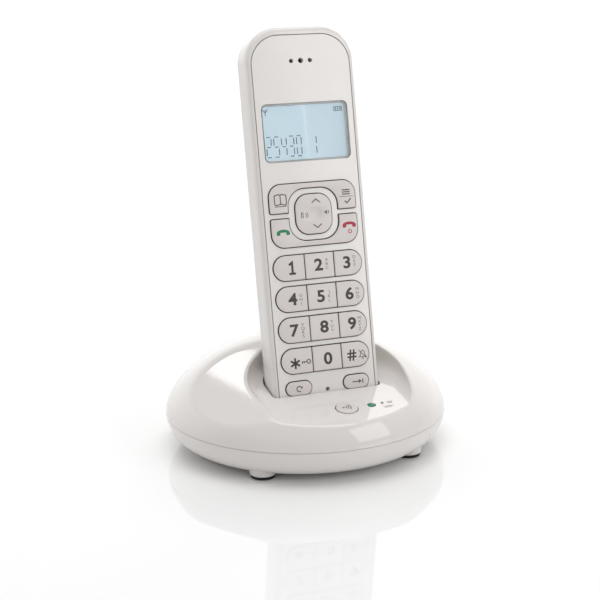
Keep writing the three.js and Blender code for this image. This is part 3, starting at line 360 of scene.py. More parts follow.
class Finish(Enum):
    """Every finish on the phone, by what it is made of and how."""

    # Glossy ABS from a polished mould: bright, crisp reflections that waver very slightly.
    GLOSS_ABS = Moulding("gloss_abs_moulded", "E6E2DF", "E2DEDA", (0.03, 0.07), 1.54, 30.0, 3.0, 0.003)
    # The face is the same ABS from a finer satin mould: softer reflections.
    SATIN_ABS = Moulding("satin_abs_moulded", "EEEAE7", "EAE6E2", (0.10, 0.16), 1.54, 25.0, 0.5, 0.002)
    # Key caps, spray-painted polycarbonate: satin, slightly pink and darker than the face.
    KEY_PAINT = Moulding(
        "key_cap_painted_polycarbonate", "DFD8D6", "DAD3D0", (0.32, 0.42), 1.5, 9.0, 0.3, 0.003
    )
    # Painted shade: a dark grey on the side walls of a key cap, standing for the shade in the gap round it.
    PAINTED_SHADE_SKIRT = Moulding("painted_shade_cap_skirt", "5B5655", "4E4A49", (0.6, 0.75), 1.41, 4.0, 0.3, 0.004)
    # Pad-printed ink: thin, dark and slightly uneven.
    INK = Moulding("legend_ink_pad_printed", "4A4444", "413C3C", (0.45, 0.6), 1.5, 1.2, 0.2, 0.001)
    FINE_INK = Moulding("fine_legend_ink_pad_printed", "6F6A69", "625D5C", (0.45, 0.6), 1.5, 1.2, 0.2, 0.001)
    GREEN_INK = Moulding("green_ink_pad_printed", "1E8A5A", "1A7C50", (0.4, 0.55), 1.5, 1.5, 0.2, 0.001)
    RED_INK = Moulding("red_ink_pad_printed", "B8314B", "A52A43", (0.4, 0.55), 1.5, 1.5, 0.2, 0.001)
    # Liquid crystal segments seen through the cell: blue-grey, not quite black.
    SEGMENT = Moulding("liquid_crystal_segment", "5E7386", "54697B", (0.3, 0.4), 1.52, 1.5, 0.2, 0.0)
    # Backlit liquid crystal cell: pale blue, brighter in soft patches.
    LCD = Backlit("liquid_crystal_panel", "D9E8F0", "CADDE8", glow=0.34)
    # Acrylic window, injection moulded and polished.
    ACRYLIC = ClearSheet("acrylic_window_moulded", "F4FAFC")
    # Light guide, tinted green, with light in it.
    LIGHT_GUIDE = Moulding(
        "light_guide_green_acrylic", "1F7A55", "1A6A4A", (0.05, 0.12), 1.49, 1.5, 0.5, 0.0, 0.35
    )
    # Soft feet, moulded rubber: nearly black and dull.
    RUBBER = Moulding("foot_rubber_moulded", "1E1C1C", "171616", (0.75, 0.9), 1.52, 3.0, 0.25, 0.01)
    # Keypad mat, moulded silicone: dull grey.
    SILICONE = Moulding("keypad_silicone_moulded", "8D8A89", "838080", (0.6, 0.75), 1.41, 6.0, 0.4, 0.006)
    # Glass-fibre board under green solder mask: the weave shows faintly.
    SOLDER_MASK = Moulding(
        "glass_fibre_board_solder_mask", "1F5F3C", "1A5435", (0.25, 0.4), 1.55, 5.0, 0.7, 0.01
    )
    # Jacks, switches and speaker frames, filled nylon: black and slightly rough.
    BLACK_NYLON = Moulding("filled_nylon_moulded", "232325", "1C1C1E", (0.4, 0.55), 1.53, 4.0, 0.3, 0.006)
    # The battery's plug and the light panel, unfilled nylon: milky white.
    WHITE_NYLON = Moulding("natural_nylon_moulded", "E9E6DC", "DFDCD2", (0.35, 0.5), 1.53, 4.0, 0.4, 0.005)
    # Shrink sleeve on the cells: green film with a soft sheen.
    SLEEVE = Moulding("heat_shrink_sleeve", "3C7F4B", "357343", (0.2, 0.35), 1.54, 8.0, 0.8, 0.006)
    # Zinc-plated steel screws: bright grey with faint turning marks.
    ZINC = Plating("zinc_plated_steel", "C9CBCD", (0.22, 0.38))
    # Charging contacts, gold over nickel: warm and bright.
    GOLD = Plating("gold_plated_contact", "D9B66A", (0.15, 0.28))


MADE: dict[Finish, bpy.types.Material] = {}


def finish_material(finish: Finish) -> bpy.types.Material:
    """The material of a finish, made the first time that it is asked for."""
    if finish not in MADE:
        MADE[finish] = finish.value.material()
    return MADE[finish]


# ---------------------------------------------------------------- outlines


def rounded(corners: Sequence[Corner], steps: int = 10) -> Outline:
    """Rounds a polygon's corners with arcs.

    Args:
        corners: Each corner's x, y and radius, anticlockwise.
        steps: The steps along each arc.

    Returns:
        The outline's points, anticlockwise.
    """
    points: Outline = []
    count = len(corners)
    for index, (x, y, radius) in enumerate(corners):
        here = Vector((x, y))
        before = (Vector(corners[index - 1][:2]) - here).normalized()
        after = (Vector(corners[(index + 1) % count][:2]) - here).normalized()
        if radius <= 0:
            points.append((x, y))
            continue
        half = math.acos(max(-1.0, min(1.0, before.dot(after)))) / 2
        reach = radius / math.tan(half)
        centre = here + (before + after).normalized() * (radius / math.sin(half))
        start = here + before * reach - centre
        turn = math.pi - 2 * half
        side = math.copysign(1.0, -before.x * after.y + before.y * after.x)
        for step in range(steps + 1):
            angle = side * turn * step / steps
            spoke = Matrix.Rotation(angle, 2) @ start
            points.append((centre.x + spoke.x, centre.y + spoke.y))
    return points


def rectangle(left: float, bottom: float, right: float, top: float, radii: Any, steps: int = 10) -> Outline:
    """A rectangle with round corners, whose radii go anticlockwise from the lower left."""
    low_left, low_right, high_right, high_left = radii if isinstance(radii, (list, tuple)) else [radii] * 4
    corners = [
        (left, bottom, low_left),
        (right, bottom, low_right),
        (right, top, high_right),
        (left, top, high_left),
    ]
    return rounded(corners, steps)


def angles(sweep: float, steps: int) -> list[float]:
    """Angles evenly spaced from nought to a sweep, both ends counted."""
    return [sweep * step / steps for step in range(steps + 1)]


def four_places(x: float, y: float) -> list[tuple[float, float]]:
    """The places of a part that is set out on both sides of both axes."""
    return [(across * x, along * y) for across in (-1, 1) for along in (-1, 1)]


def circle(x: float, y: float, radius: float, steps: int = 32) -> Outline:
    """A circle's points, anticlockwise."""
    turns = [2 * math.pi * step / steps for step in range(steps)]
    return [(x + radius * math.cos(turn), y + radius * math.sin(turn)) for turn in turns]


# ---------------------------------------------------------------- solids


class Solid:
    """A closed mesh in millimetres that can be cut, joined and placed, and then finished as a piece."""

    def __init__(self, mesh: bpy.types.Mesh) -> None:
        """Wraps a mesh in an object of the scene."""
        self.item = bpy.data.objects.new("solid", mesh)
        bpy.context.scene.collection.objects.link(self.item)

    @classmethod
    def from_faces(cls, points: Sequence[Vector], faces: Sequence[Sequence[int]]) -> "Solid":
        """Makes a closed mesh from points and faces, merging the doubles.

        Args:
            points: The points' places.
            faces: Each face's points, by number.

        Returns:
            The solid, with its faces outwards.
        """
        work = bmesh.new()
        corners = [work.verts.new(point) for point in points]
        for face in faces:
            if len(set(face)) > 2:
                work.faces.new([corners[index] for index in face])
        bmesh.ops.remove_doubles(work, verts=work.verts, dist=1e-4)
        bmesh.ops.dissolve_degenerate(work, edges=work.edges, dist=1e-4)
        bmesh.ops.recalc_face_normals(work, faces=work.faces)
        mesh = bpy.data.meshes.new("solid")
        work.to_mesh(mesh)
        work.free()
        return cls(mesh)

    @classmethod
    def loft(cls, rings: Sequence[Sequence[Vector]]) -> "Solid":
        """Joins rings of equally many points into a skin, and shuts both ends with a flat face."""
        points = [point for ring in rings for point in ring]
        count = len(rings[0])
        faces = [list(range(count))[::-1], [(len(rings) - 1) * count + index for index in range(count)]]
        for level in range(len(rings) - 1):
            for index in range(count):
                low = level * count + index
                next_low = level * count + (index + 1) % count
                faces.append([low, next_low, next_low + count, low + count])
        return cls.from_faces(points, faces)

    @classmethod
    def prism(cls, outline: Outline, low: float, high: float) -> "Solid":
        """Raises an outline in x and y from one z to another."""
        return cls.loft([[Vector((x, y, z)) for x, y in outline] for z in (low, high)])

    @classmethod
    def turned(cls, profile: Outline, steps: int = 96) -> "Solid":
        """Turns a profile of radius and z, from the axis back to the axis, about z."""
        points: list[Vector] = []
        faces: list[list[int]] = []
        for radius, z in profile:
            turns = [2 * math.pi * step / steps for step in range(steps)]
            points += [Vector((radius * math.cos(turn), radius * math.sin(turn), z)) for turn in turns]
        for level in range(len(profile) - 1):
            for step in range(steps):
                low, next_low = level * steps + step, level * steps + (step + 1) % steps
                faces.append([low, next_low, next_low + steps, low + steps])
        return cls.from_faces(points, faces)

    @classmethod
    def plate(
        cls, outlines: Sequence[Outline], front: float, back: float, edge: float, steps: int = 3
    ) -> "Solid":
        """Makes a plate in the handset's frame from its outline and its holes, with rounded edges.

        Args:
            outlines: The outer outline, then the holes, in the face's x and z.
            front: The depth of its front.
            back: The depth of its back.
            edge: The radius of its edges.
            steps: The steps round an edge.

        Returns:
            The plate.
        """
        curve = bpy.data.curves.new("plate", "CURVE")
        curve.dimensions = "2D"
        curve.fill_mode = "BOTH"
        curve.extrude = (back - front) / 2 - edge
        curve.bevel_depth = edge
        curve.bevel_resolution = steps
        curve.offset = -edge
        for outline in outlines:
            spline = curve.splines.new("POLY")
            spline.points.add(len(outline) - 1)
            spline.points.foreach_set("co", [value for x, z in outline for value in (x, z, 0.0, 1.0)])
            spline.use_cyclic_u = True
        plate = cls(meshed(curve))
        plate.place(Matrix.Translation((0, (front + back) / 2, 0)) @ FACE)
        plate.clean()
        return plate

    def clean(self) -> None:
        """Merges the mesh's doubles and turns its faces outwards."""
        work = bmesh.new()
        work.from_mesh(self.item.data)
        bmesh.ops.remove_doubles(work, verts=work.verts, dist=1e-4)
        bmesh.ops.recalc_face_normals(work, faces=work.faces)
        work.to_mesh(self.item.data)
        work.free()

    def place(self, matrix: Matrix) -> "Solid":
        """Moves the mesh itself by a matrix."""
        self.item.data.transform(matrix)
        return self

    def combine(self, other: "Solid", how: str) -> "Solid":
        """Cuts, joins or crosses this solid with another, which is used up."""
        change = self.item.modifiers.new("combine", "BOOLEAN")
        change.operation = how
        change.solver = "MANIFOLD"
        change.object = other.item
        graph = bpy.context.evaluated_depsgraph_get()
        mesh = bpy.data.meshes.new_from_object(self.item.evaluated_get(graph))
        if not mesh.polygons:
            raise RuntimeError(f"nothing is left after {how}")
        self.item.modifiers.clear()
        self.item.data = mesh
        bpy.data.objects.remove(other.item)
        return self

    def cut(self, *others: "Solid") -> "Solid":
        """Cuts other solids out of this one."""
        for other in others:
            self.combine(other, "DIFFERENCE")
        return self

    def join(self, *others: "Solid") -> "Solid":
        """Adds other solids to this one."""
        for other in others:
            self.combine(other, "UNION")
        return self

    def within(self, other: "Solid") -> "Solid":
        """Keeps only what lies within another solid."""
        return self.combine(other, "INTERSECT")

    def piece(
        self,
        name: str,
        body: str,
        finish: Finish,
        nodes: Iterable[str],
        slot: str,
        crease: float = 32.0,
        inner: Finish | None = None,
        inner_axis: Vector | None = None,
        flat_axis: Vector | None = None,
    ) -> bpy.types.Object:
        """Finishes the solid as a piece that stands for some CAD nodes.

        Args:
            name: The piece's name.
            body: The CAD body that it rides on.
            finish: Its finish.
            nodes: The CAD nodes that it stands for.
            slot: The record's material slot; not used.
            crease: The angle in degrees past which an edge stays sharp.
            inner: A second finish, for faces that look across inner_axis: painted shade on the side walls of
                the key caps.
            inner_axis: The direction that those faces look across.
            flat_axis: The direction of the faces that are shaded dead flat.

        Returns:
            The piece's object.
        """
        mesh = self.item.data
        self.item.name = mesh.name = name
        mesh.materials.clear()
        mesh.materials.append(finish_material(finish))
        # Faces across the axis take the second finish, which on the key caps is painted shade.
        if inner is not None and inner_axis is not None:
            mesh.materials.append(finish_material(inner))
            for face in mesh.polygons:
                if abs(face.normal.dot(inner_axis)) < 0.2:
                    face.material_index = 1
        mesh.transform(Matrix.Scale(MM, 4))
        mesh.shade_smooth()
        mesh.set_sharp_from_angle(angle=math.radians(crease))
        if flat_axis is not None:
            for face in mesh.polygons:
                face.use_smooth = abs(face.normal.dot(flat_axis)) < 0.9999
        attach(self.item, body)
        nodes = list(nodes)
        if nodes:
            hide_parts(*nodes)
        LOG.info("%s rides on %s, %d faces", name, body, len(mesh.polygons))
        return self.item


def meshed(curve: bpy.types.Curve) -> bpy.types.Mesh:
    """Turns curve or text data into a mesh, and removes the curve."""
    item = bpy.data.objects.new("curve", curve)
    bpy.context.scene.collection.objects.link(item)
    graph = bpy.context.evaluated_depsgraph_get()
    mesh = bpy.data.meshes.new_from_object(item.evaluated_get(graph))
    bpy.data.objects.remove(item)
    return mesh


def block(low: Sequence[float], high: Sequence[float]) -> Solid:
    """A box between two corners, as a cutter."""
    outline = [(low[0], low[1]), (high[0], low[1]), (high[0], high[1]), (low[0], high[1])]
    return Solid.prism(outline, low[2], high[2])


def post(radius: float, x: float, y: float, low: float, high: float, steps: int = 48) -> Solid:
    """A round post along z."""
    return Solid.prism(circle(x, y, radius, steps), low, high)


def bore(radius: float, x: float, z: float, front: float, back: float, steps: int = 48) -> Solid:
    """A round post into the handset, along its y."""
    turn = Matrix.Translation((0, back, 0)) @ FACE
    return Solid.prism(circle(x, z, radius, steps), 0.0, back - front).place(turn)


def through(outline: Outline, front: float, back: float) -> Solid:
    """An outline on the handset's face, as a cutter from one depth to another."""
    return Solid.prism(outline, 0.0, back - front).place(Matrix.Translation((0, back, 0)) @ FACE)


# ---------------------------------------------------------------- printed legends


class Print:
    """Ink on a flat face: strokes, dots, shapes and figures, drawn in the face's x and z."""

    FILM = 0.02

    def __init__(self) -> None:
        """Starts with nothing drawn."""
        self.work = bmesh.new()

    def shape(self, outline: Outline) -> None:
        """Adds a filled outline as a thin film."""
        front = [self.work.verts.new((x, z, self.FILM)) for x, z in outline]
        back = [self.work.verts.new((x, z, -self.FILM)) for x, z in outline]
        self.work.faces.new(front)
        self.work.faces.new(back[::-1])
        for index in range(len(outline)):
            after = (index + 1) % len(outline)
            self.work.faces.new([front[index], back[index], back[after], front[after]])

    def dot(self, x: float, z: float, radius: float) -> None:
        """Adds a round dot."""
        self.shape(circle(x, z, radius, 20))

    def stroke(self, points: Outline, width: float, closed: bool = False) -> None:
        """Adds a line of one width along points.

        Args:
            points: The line's points.
            width: Its width.
            closed: Whether it comes back to its start.
        """
        path = [Vector(point) for point in points]
        count = len(path)
        left: list[Vector] = []
        right: list[Vector] = []
        for index, here in enumerate(path):
            before = path[index - 1] if closed or index else None
            after = path[(index + 1) % count] if closed or index < count - 1 else None
            first = (here - before).normalized() if before else (after - here).normalized()
            second = (after - here).normalized() if after else first
            lean = (first + second).normalized()
            normal = Vector((-lean.y, lean.x))
            reach = width / 2 / max(0.35, normal.dot(Vector((-first.y, first.x))))
            left.append(here + normal * reach)
            right.append(here - normal * reach)
        pairs = count if closed else count - 1
        for index in range(pairs):
            after = (index + 1) % count
            quad = [right[index], right[after], left[after], left[index]]
            self.shape([(corner.x, corner.y) for corner in quad])

    def arc(self, x: float, z: float, radius: float, start: float, end: float, width: float) -> None:
        """Adds an arc between two angles in degrees."""
        steps = 14
        turns = [math.radians(start + (end - start) * step / steps) for step in range(steps + 1)]
        self.stroke([(x + radius * math.cos(turn), z + radius * math.sin(turn)) for turn in turns], width)

    def text(
        self, words: str, x: float, z: float, height: float, stretch: float = 1.0, weight: float = 0.0
    ) -> None:
        """Adds figures or letters, centred on a point.

        Args:
            words: What they say.
            x: The middle's x.
            z: The middle's z.
            height: The height of a capital.
            stretch: How wide they are beside the plain letter.
            weight: What each side of a stroke gains.
        """
        curve = bpy.data.curves.new("text", "FONT")
        curve.body = words
        curve.size = height * 1.38
        curve.offset = weight
        curve.extrude = self.FILM
        curve.resolution_u = 5
        mesh = meshed(curve)
        corners = [vertex.co for vertex in mesh.vertices]
        middle_x = (min(corner.x for corner in corners) + max(corner.x for corner in corners)) / 2
        middle_z = (min(corner.y for corner in corners) + max(corner.y for corner in corners)) / 2
        mesh.transform(Matrix.Translation((-middle_x, -middle_z, 0)))
        mesh.transform(Matrix.Diagonal((stretch, 1, 1, 1)))
        mesh.transform(Matrix.Translation((x, z, 0)))
        self.work.from_mesh(mesh)
        bpy.data.meshes.remove(mesh)

    def solid(self, place: Matrix) -> Solid:
        """Ends the drawing and lays it on a face, given by the matrix that takes z out of the face."""
        mesh = bpy.data.meshes.new("print")
        bmesh.ops.remove_doubles(self.work, verts=self.work.verts, dist=1e-5)
        self.work.to_mesh(mesh)
        self.work.free()
        return Solid(mesh).place(place)


def on_face(depth: float) -> Matrix:
    """The place of a print on the handset, at a depth from its face."""
    return HANDSET @ Matrix.Translation((0, depth, 0)) @ FACE


# ---------------------------------------------------------------- the handset's outer form


@dataclass
class HandsetForm:
    """The handset's outer form and the outlines of what is let into its face, in its own frame."""

    half_width: float = 24.0
    thickness: float = 25.0
    top: float = 154.2
    bottom: float = -9.0
    top_corner: float = 14.5
    bottom_corner: float = 7.0
    side_depth: float = 9.7
    back_flat: float = 8.0
    handles: tuple[float, float] = (0.56, 0.6)
    front_edge: tuple[tuple[float, float], ...] = (
        (0.0, 2.3),
        (0.1, 1.6),
        (0.3, 1.1),
        (0.65, 0.7),
        (1.2, 0.35),
        (2.0, 0.1),
        (2.8, 0.0),
    )
    back_steps: int = 22
    top_round: float = 10.0
    bottom_round: float = 8.0
    wall: float = 1.6
    split: float = 11.0
    plate: tuple[float, float, float, float] = (-21.7, -6.5, 21.7, 150.5)
    plate_corners: tuple[float, float, float, float] = (3.0, 3.0, 12.2, 12.2)
    window: tuple[float, float, float, float] = (-18.9, 98.2, 18.9, 122.0)
    window_corner: float = 2.0

    def back_curve(self, inset: float) -> list[tuple[float, float]]:
        """Half widths and depths along the curve from a side to the flat of the back."""
        side, back = self.half_width - inset, self.thickness - inset
        flat = self.back_flat - inset / 3
        wide = (side - flat) * self.handles[0]
        deep = (back - self.side_depth) * self.handles[1]
        ends = [(side, self.side_depth), (side, self.side_depth + deep), (flat + wide, back), (flat, back)]
        found = []
        for step in range(1, self.back_steps + 1):
            part = step / self.back_steps
            shares = [(1 - part) ** 3, 3 * part * (1 - part) ** 2, 3 * part**2 * (1 - part), part**3]
            found.append(tuple(sum(share * end[axis] for share, end in zip(shares, ends)) for axis in (0, 1)))
        return found

    def ring(self, half: float, depth: float, inset: float, pulled: float) -> list[Vector]:
        """One outline of the body at a depth.

        Args:
            half: Half its width there.
            depth: The depth.
            inset: How far the whole form is set in.
            pulled: What the front edge takes off all round there.

        Returns:
            The outline's points.
        """
        past_top = max(0.0, depth + inset - (self.thickness - self.top_round))
        past_foot = max(0.0, depth + inset - (self.thickness - self.bottom_round))
        high = self.top_round - math.sqrt(max(0.0, self.top_round**2 - past_top**2))
        low = self.bottom_round - math.sqrt(max(0.0, self.bottom_round**2 - past_foot**2))
        lost = self.half_width - half
        top_corner = min(half - 0.3, max(self.top_corner - lost, 8.0))
        foot_corner = min(half - 0.3, max(self.bottom_corner - lost, 5.0))
        outline = rectangle(
            -half,
            self.bottom + inset + pulled + low,
            half,
            self.top - inset - pulled - high,
            (foot_corner, foot_corner, top_corner, top_corner),
            16,
        )
        return [Vector((x, depth, z)) for x, z in outline]

    def solid(self, inset: float = 0.0, front: float = 0.0) -> Solid:
        """The whole body, set in by an amount, from a depth on."""
        rings = []
        if inset:
            half = self.half_width - inset
            rings = [self.ring(half, front, inset, 0.0), self.ring(half, self.side_depth, inset, 0.0)]
        else:
            for depth, lost in self.front_edge:
                rings.append(self.ring(self.half_width - lost, depth, 0.0, lost))
            rings.append(self.ring(self.half_width, self.side_depth, 0.0, 0.0))
        for half, depth in self.back_curve(inset):
            rings.append(self.ring(half, depth, inset, 0.0))
        return Solid.loft(rings)

    def section(self, grow: float) -> Outline:
        """The section across the handset, grown by an amount, as x and depth."""
        half, front = self.half_width + grow, -grow
        right = [(half - 2.2, front), (half - 0.65, front + 0.65), (half, front + 2.2)]
        right += [(half, self.side_depth), *self.back_curve(-grow)]
        return right + [(-x, y) for x, y in reversed(right)]

    def face_plate(self, grow: float) -> Outline:
        """The face plate's outline."""
        left, low, right, high = self.plate
        corners = tuple(corner + grow for corner in self.plate_corners)
        return rectangle(left - grow, low - grow, right + grow, high + grow, corners, 14)

    def view(self, grow: float) -> Outline:
        """The window's outline."""
        left, low, right, high = self.window
        return rectangle(left - grow, low - grow, right + grow, high + grow, self.window_corner + grow, 8)


@dataclass
class KeyPlan:
    """Where each key lies on the face, and its outline."""

    proud: float = 0.7
    foot: float = 3.2
    gap: float = 0.35
    row_half: float = 19.8
    row_rise: float = 5.25
    row_top: float = 53.6
    row_pitch: float = 13.1
    splits: tuple[float, float] = (-5.9, 7.3)
    split_gap: float = 0.3
    small: tuple[float, float, float, float] = (7.3, 18.7, 2.7, 2.9)
    cluster_half: float = 19.3
    cluster: tuple[float, float] = (62.3, 88.7)
    cluster_corner: float = 5.5
    inner_corner: float = 0.8
    bar: float = 2.5
    ring_half: float = 10.9
    ring_rise: float = 10.8
    ring_corner: float = 7.3
    navigation: tuple[float, float, float] = (8.05, 8.35, 5.7)

    @property
    def middle(self) -> float:
        """The height of the cluster's middle."""
        return sum(self.cluster) / 2

    def row(self, number: int) -> float:
        """The height of the middle of a row."""
        return self.row_top - number * self.row_pitch

    def row_key(self, number: int, column: int) -> Outline:
        """The outline of one key of a row of three."""
        middle, rise = self.row(number), self.row_rise
        left = -self.row_half if column == 0 else self.splits[column - 1] + self.split_gap / 2
        right = self.row_half if column == 2 else self.splits[column] - self.split_gap / 2
        low, high = (rise - 0.01 if column == end else 0.35 for end in (0, 2))
        return rectangle(left, middle - rise, right, middle + rise, (low, high, high, low), 16)

    def row_opening(self, number: int) -> Outline:
        """The outline of a row's opening."""
        middle, rise, half = self.row(number), self.row_rise + self.gap, self.row_half + self.gap
        return rectangle(-half, middle - rise, half, middle + rise, rise - 0.01, 16)

    def small_key(self, side: int, grow: float) -> Outline:
        """The outline of a pill key at the foot of the face."""
        near, far, middle, rise = self.small
        ends = sorted((side * (near - grow), side * (far + grow)))
        rise += grow
        return rectangle(ends[0], middle - rise, ends[1], middle + rise, rise - 0.01, 12)

    def rocker(self, side: int, grow: float) -> Outline:
        """The outline of a rocker that bends round the ring: side is 1 for the upper and -1 for the lower."""
        half, near = self.cluster_half + grow, self.bar / 2 - grow
        far = (self.cluster[1] - self.cluster[0]) / 2 + grow
        open_gap = self.gap - grow
        notch, notch_top = self.ring_half + open_gap, self.ring_rise + open_gap
        inner, outer = self.inner_corner + grow, self.cluster_corner + grow
        turns = self.ring_corner + open_gap
        corners = [
            (-half, near, inner),
            (-notch, near, 0.3),
            (-notch, notch_top, turns),
            (notch, notch_top, turns),
            (notch, near, 0.3),
            (half, near, inner),
            (half, far, outer),
            (-half, far, outer),
        ]
        if side < 0:
            corners = [(x, -z, radius) for x, z, radius in reversed(corners)]
        return rounded([(x, z + self.middle, radius) for x, z, radius in corners], 12)

    def navigation_key(self, grow: float) -> Outline:
        """The outline of the navigation key."""
        half, rise, corner = (size + grow for size in self.navigation)
        return rectangle(-half, self.middle - rise, half, self.middle + rise, corner, 14)

    def openings(self) -> list[Outline]:
        """Every key's opening in the face."""
        return [
            *[self.row_opening(number) for number in range(4)],
            *[self.small_key(side, self.gap) for side in (-1, 1)],
            *[self.rocker(side, self.gap) for side in (-1, 1)],
            self.navigation_key(self.gap),
        ]


FORM = HandsetForm()
KEYS = KeyPlan()
ACROSS_FACE = Matrix.Rotation(-LEAN, 3, "X") @ Vector((0, 1, 0))


@dataclass
class HandsetShells:
    """The handset's shells, face plate, battery door and window."""

    wall_back: float = 3.05
    recess: float = 1.65
    plate_depth: float = 1.3
    earpiece: tuple[tuple[float, float, float], ...] = (
        (-4.2, 139.8, 0.9),
        (0.0, 139.8, 1.1),
        (4.2, 139.8, 0.9),
    )
    microphone: tuple[float, float, float] = (0.0, 0.9, 0.85)
    window_depths: tuple[float, float] = (0.1, 1.1)
    window_rest: float = 0.7
    tub: tuple[float, float, float] = (17.2, 30.0, 88.0)
    tub_wall: float = 1.1
    slot: tuple[float, float, float, float] = (5.0, 0.6, 118.0, 3.0)
    screw: tuple[float, float, float] = (14.0, 93.6, 2.7)
    screw_shank: float = 1.2
    screw_head: float = 1.85
    screw_seat: float = 20.6
    post_end: float = 21.5
    pad_recess: tuple[tuple[float, float], ...] = ((12.0, 3.35), (5.65, 10.35), (-9.35, -6.85))

    def holes(self) -> list[tuple[float, float, float]]:
        """Every round hole in the face."""
        return [*self.earpiece, self.microphone]

    def front(self) -> None:
        """Builds the front shell, with the openings behind the face plate."""
        join = FORM.split - SHUT / 2
        shell = FORM.solid().within(block((-40, -1, -40), (40, join, 200)))
        shell.cut(FORM.solid(FORM.wall, self.wall_back))
        for side in (-1, 1):
            x, z, radius = side * self.screw[0], self.screw[1], self.screw[2]
            shell.join(bore(radius, x, z, self.wall_back - 0.5, join))
            shell.cut(bore(self.screw_shank + SHUT, x, z, self.wall_back, join + 1))
        shell.cut(through(FORM.face_plate(SHUT), -1, self.recess))
        shell.cut(through(FORM.view(-self.window_rest), -1, self.wall_back + 1))
        for outline in KEYS.openings():
            shell.cut(through(outline, -1, self.wall_back + 1))
        for x, z, radius in self.holes():
            shell.cut(bore(radius, x, z, -1, self.wall_back + 1))
        (across, wide), (near, far), (low, high) = self.pad_recess
        for side in (-1, 1):
            shell.cut(block((side * across - wide, near, low), (side * across + wide, far, high)))
        shell.place(HANDSET).piece(
            "handset_front", "handset", Finish.GLOSS_ABS, ["handset_front_shell"], "white_shell", 40
        )

    def face(self) -> None:
        """Builds the face plate, with its faces square to the front shaded dead flat."""
        round_holes = [circle(x, z, radius, 40) for x, z, radius in self.holes()]
        outlines = [FORM.face_plate(0), FORM.view(SHUT), *KEYS.openings(), *round_holes]
        plate = Solid.plate(outlines, 0.0, self.plate_depth, 0.14)
        plate.place(HANDSET).piece(
            "handset_face",
            "handset",
            Finish.SATIN_ABS,
            ["handset_face_plate"],
            "face_plate",
            50,
            flat_axis=ACROSS_FACE,
        )

    def rear(self) -> None:
        """Builds the rear shell with its battery tub, ringer slots and screw ways."""
        join = FORM.split + SHUT / 2
        half, low, high = self.tub
        deep, wall = join + self.tub_wall, self.tub_wall
        shell = FORM.solid().within(block((-40, join, -40), (40, 40, 200)))
        hollow = FORM.solid(FORM.wall, self.wall_back)
        hollow.cut(block((-half - wall, join - 1, low - wall), (half + wall, 40, high + wall)))
        shell.cut(hollow)
        for side in (-1, 1):
            x, z, radius = side * self.screw[0], self.screw[1], self.screw[2]
            shell.join(bore(radius, x, z, join, self.post_end))
            shell.cut(bore(self.screw_shank + SHUT, x, z, join - 1, 40))
            shell.cut(bore(self.screw_head + SHUT, x, z, self.screw_seat - SHUT, 40))
        shell.cut(block((-half, deep, low), (half, 40, high)))
        reach, rise, middle, pitch = self.slot
        for number in (-1, 0, 1):
            z = middle + number * pitch
            shell.cut(through(rectangle(-reach, z - rise, reach, z + rise, rise - 0.01, 8), 22.5, 40))
        shell.place(HANDSET).piece(
            "handset_rear", "handset", Finish.GLOSS_ABS, ["handset_rear_shell"], "white_shell", 40
        )

    def door(self) -> None:
        """Builds the battery door, flush with the back."""
        half, low, high = self.tub
        skin = FORM.solid().cut(FORM.solid(FORM.wall, self.wall_back))
        edges = rectangle(-half + SHUT, low + SHUT, half - SHUT, high - SHUT, 1.2, 6)
        skin.within(through(edges, FORM.split + 1.3, 40))
        skin.place(HANDSET).piece(
            "battery_cover", "battery_door", Finish.GLOSS_ABS, ["battery_door"], "white_shell", 40
        )

    def pane(self) -> None:
        """Builds the clear window."""
        pane = Solid.plate([FORM.view(0)], *self.window_depths, 0.15)
        pane.place(HANDSET).piece(
            "window_pane", "handset", Finish.ACRYLIC, ["display_window"], "clear_window", 50
        )

    def build(self) -> None:
        """Builds every piece of the handset's body."""
        self.front()
        self.face()
        self.rear()
        self.door()
        self.pane()


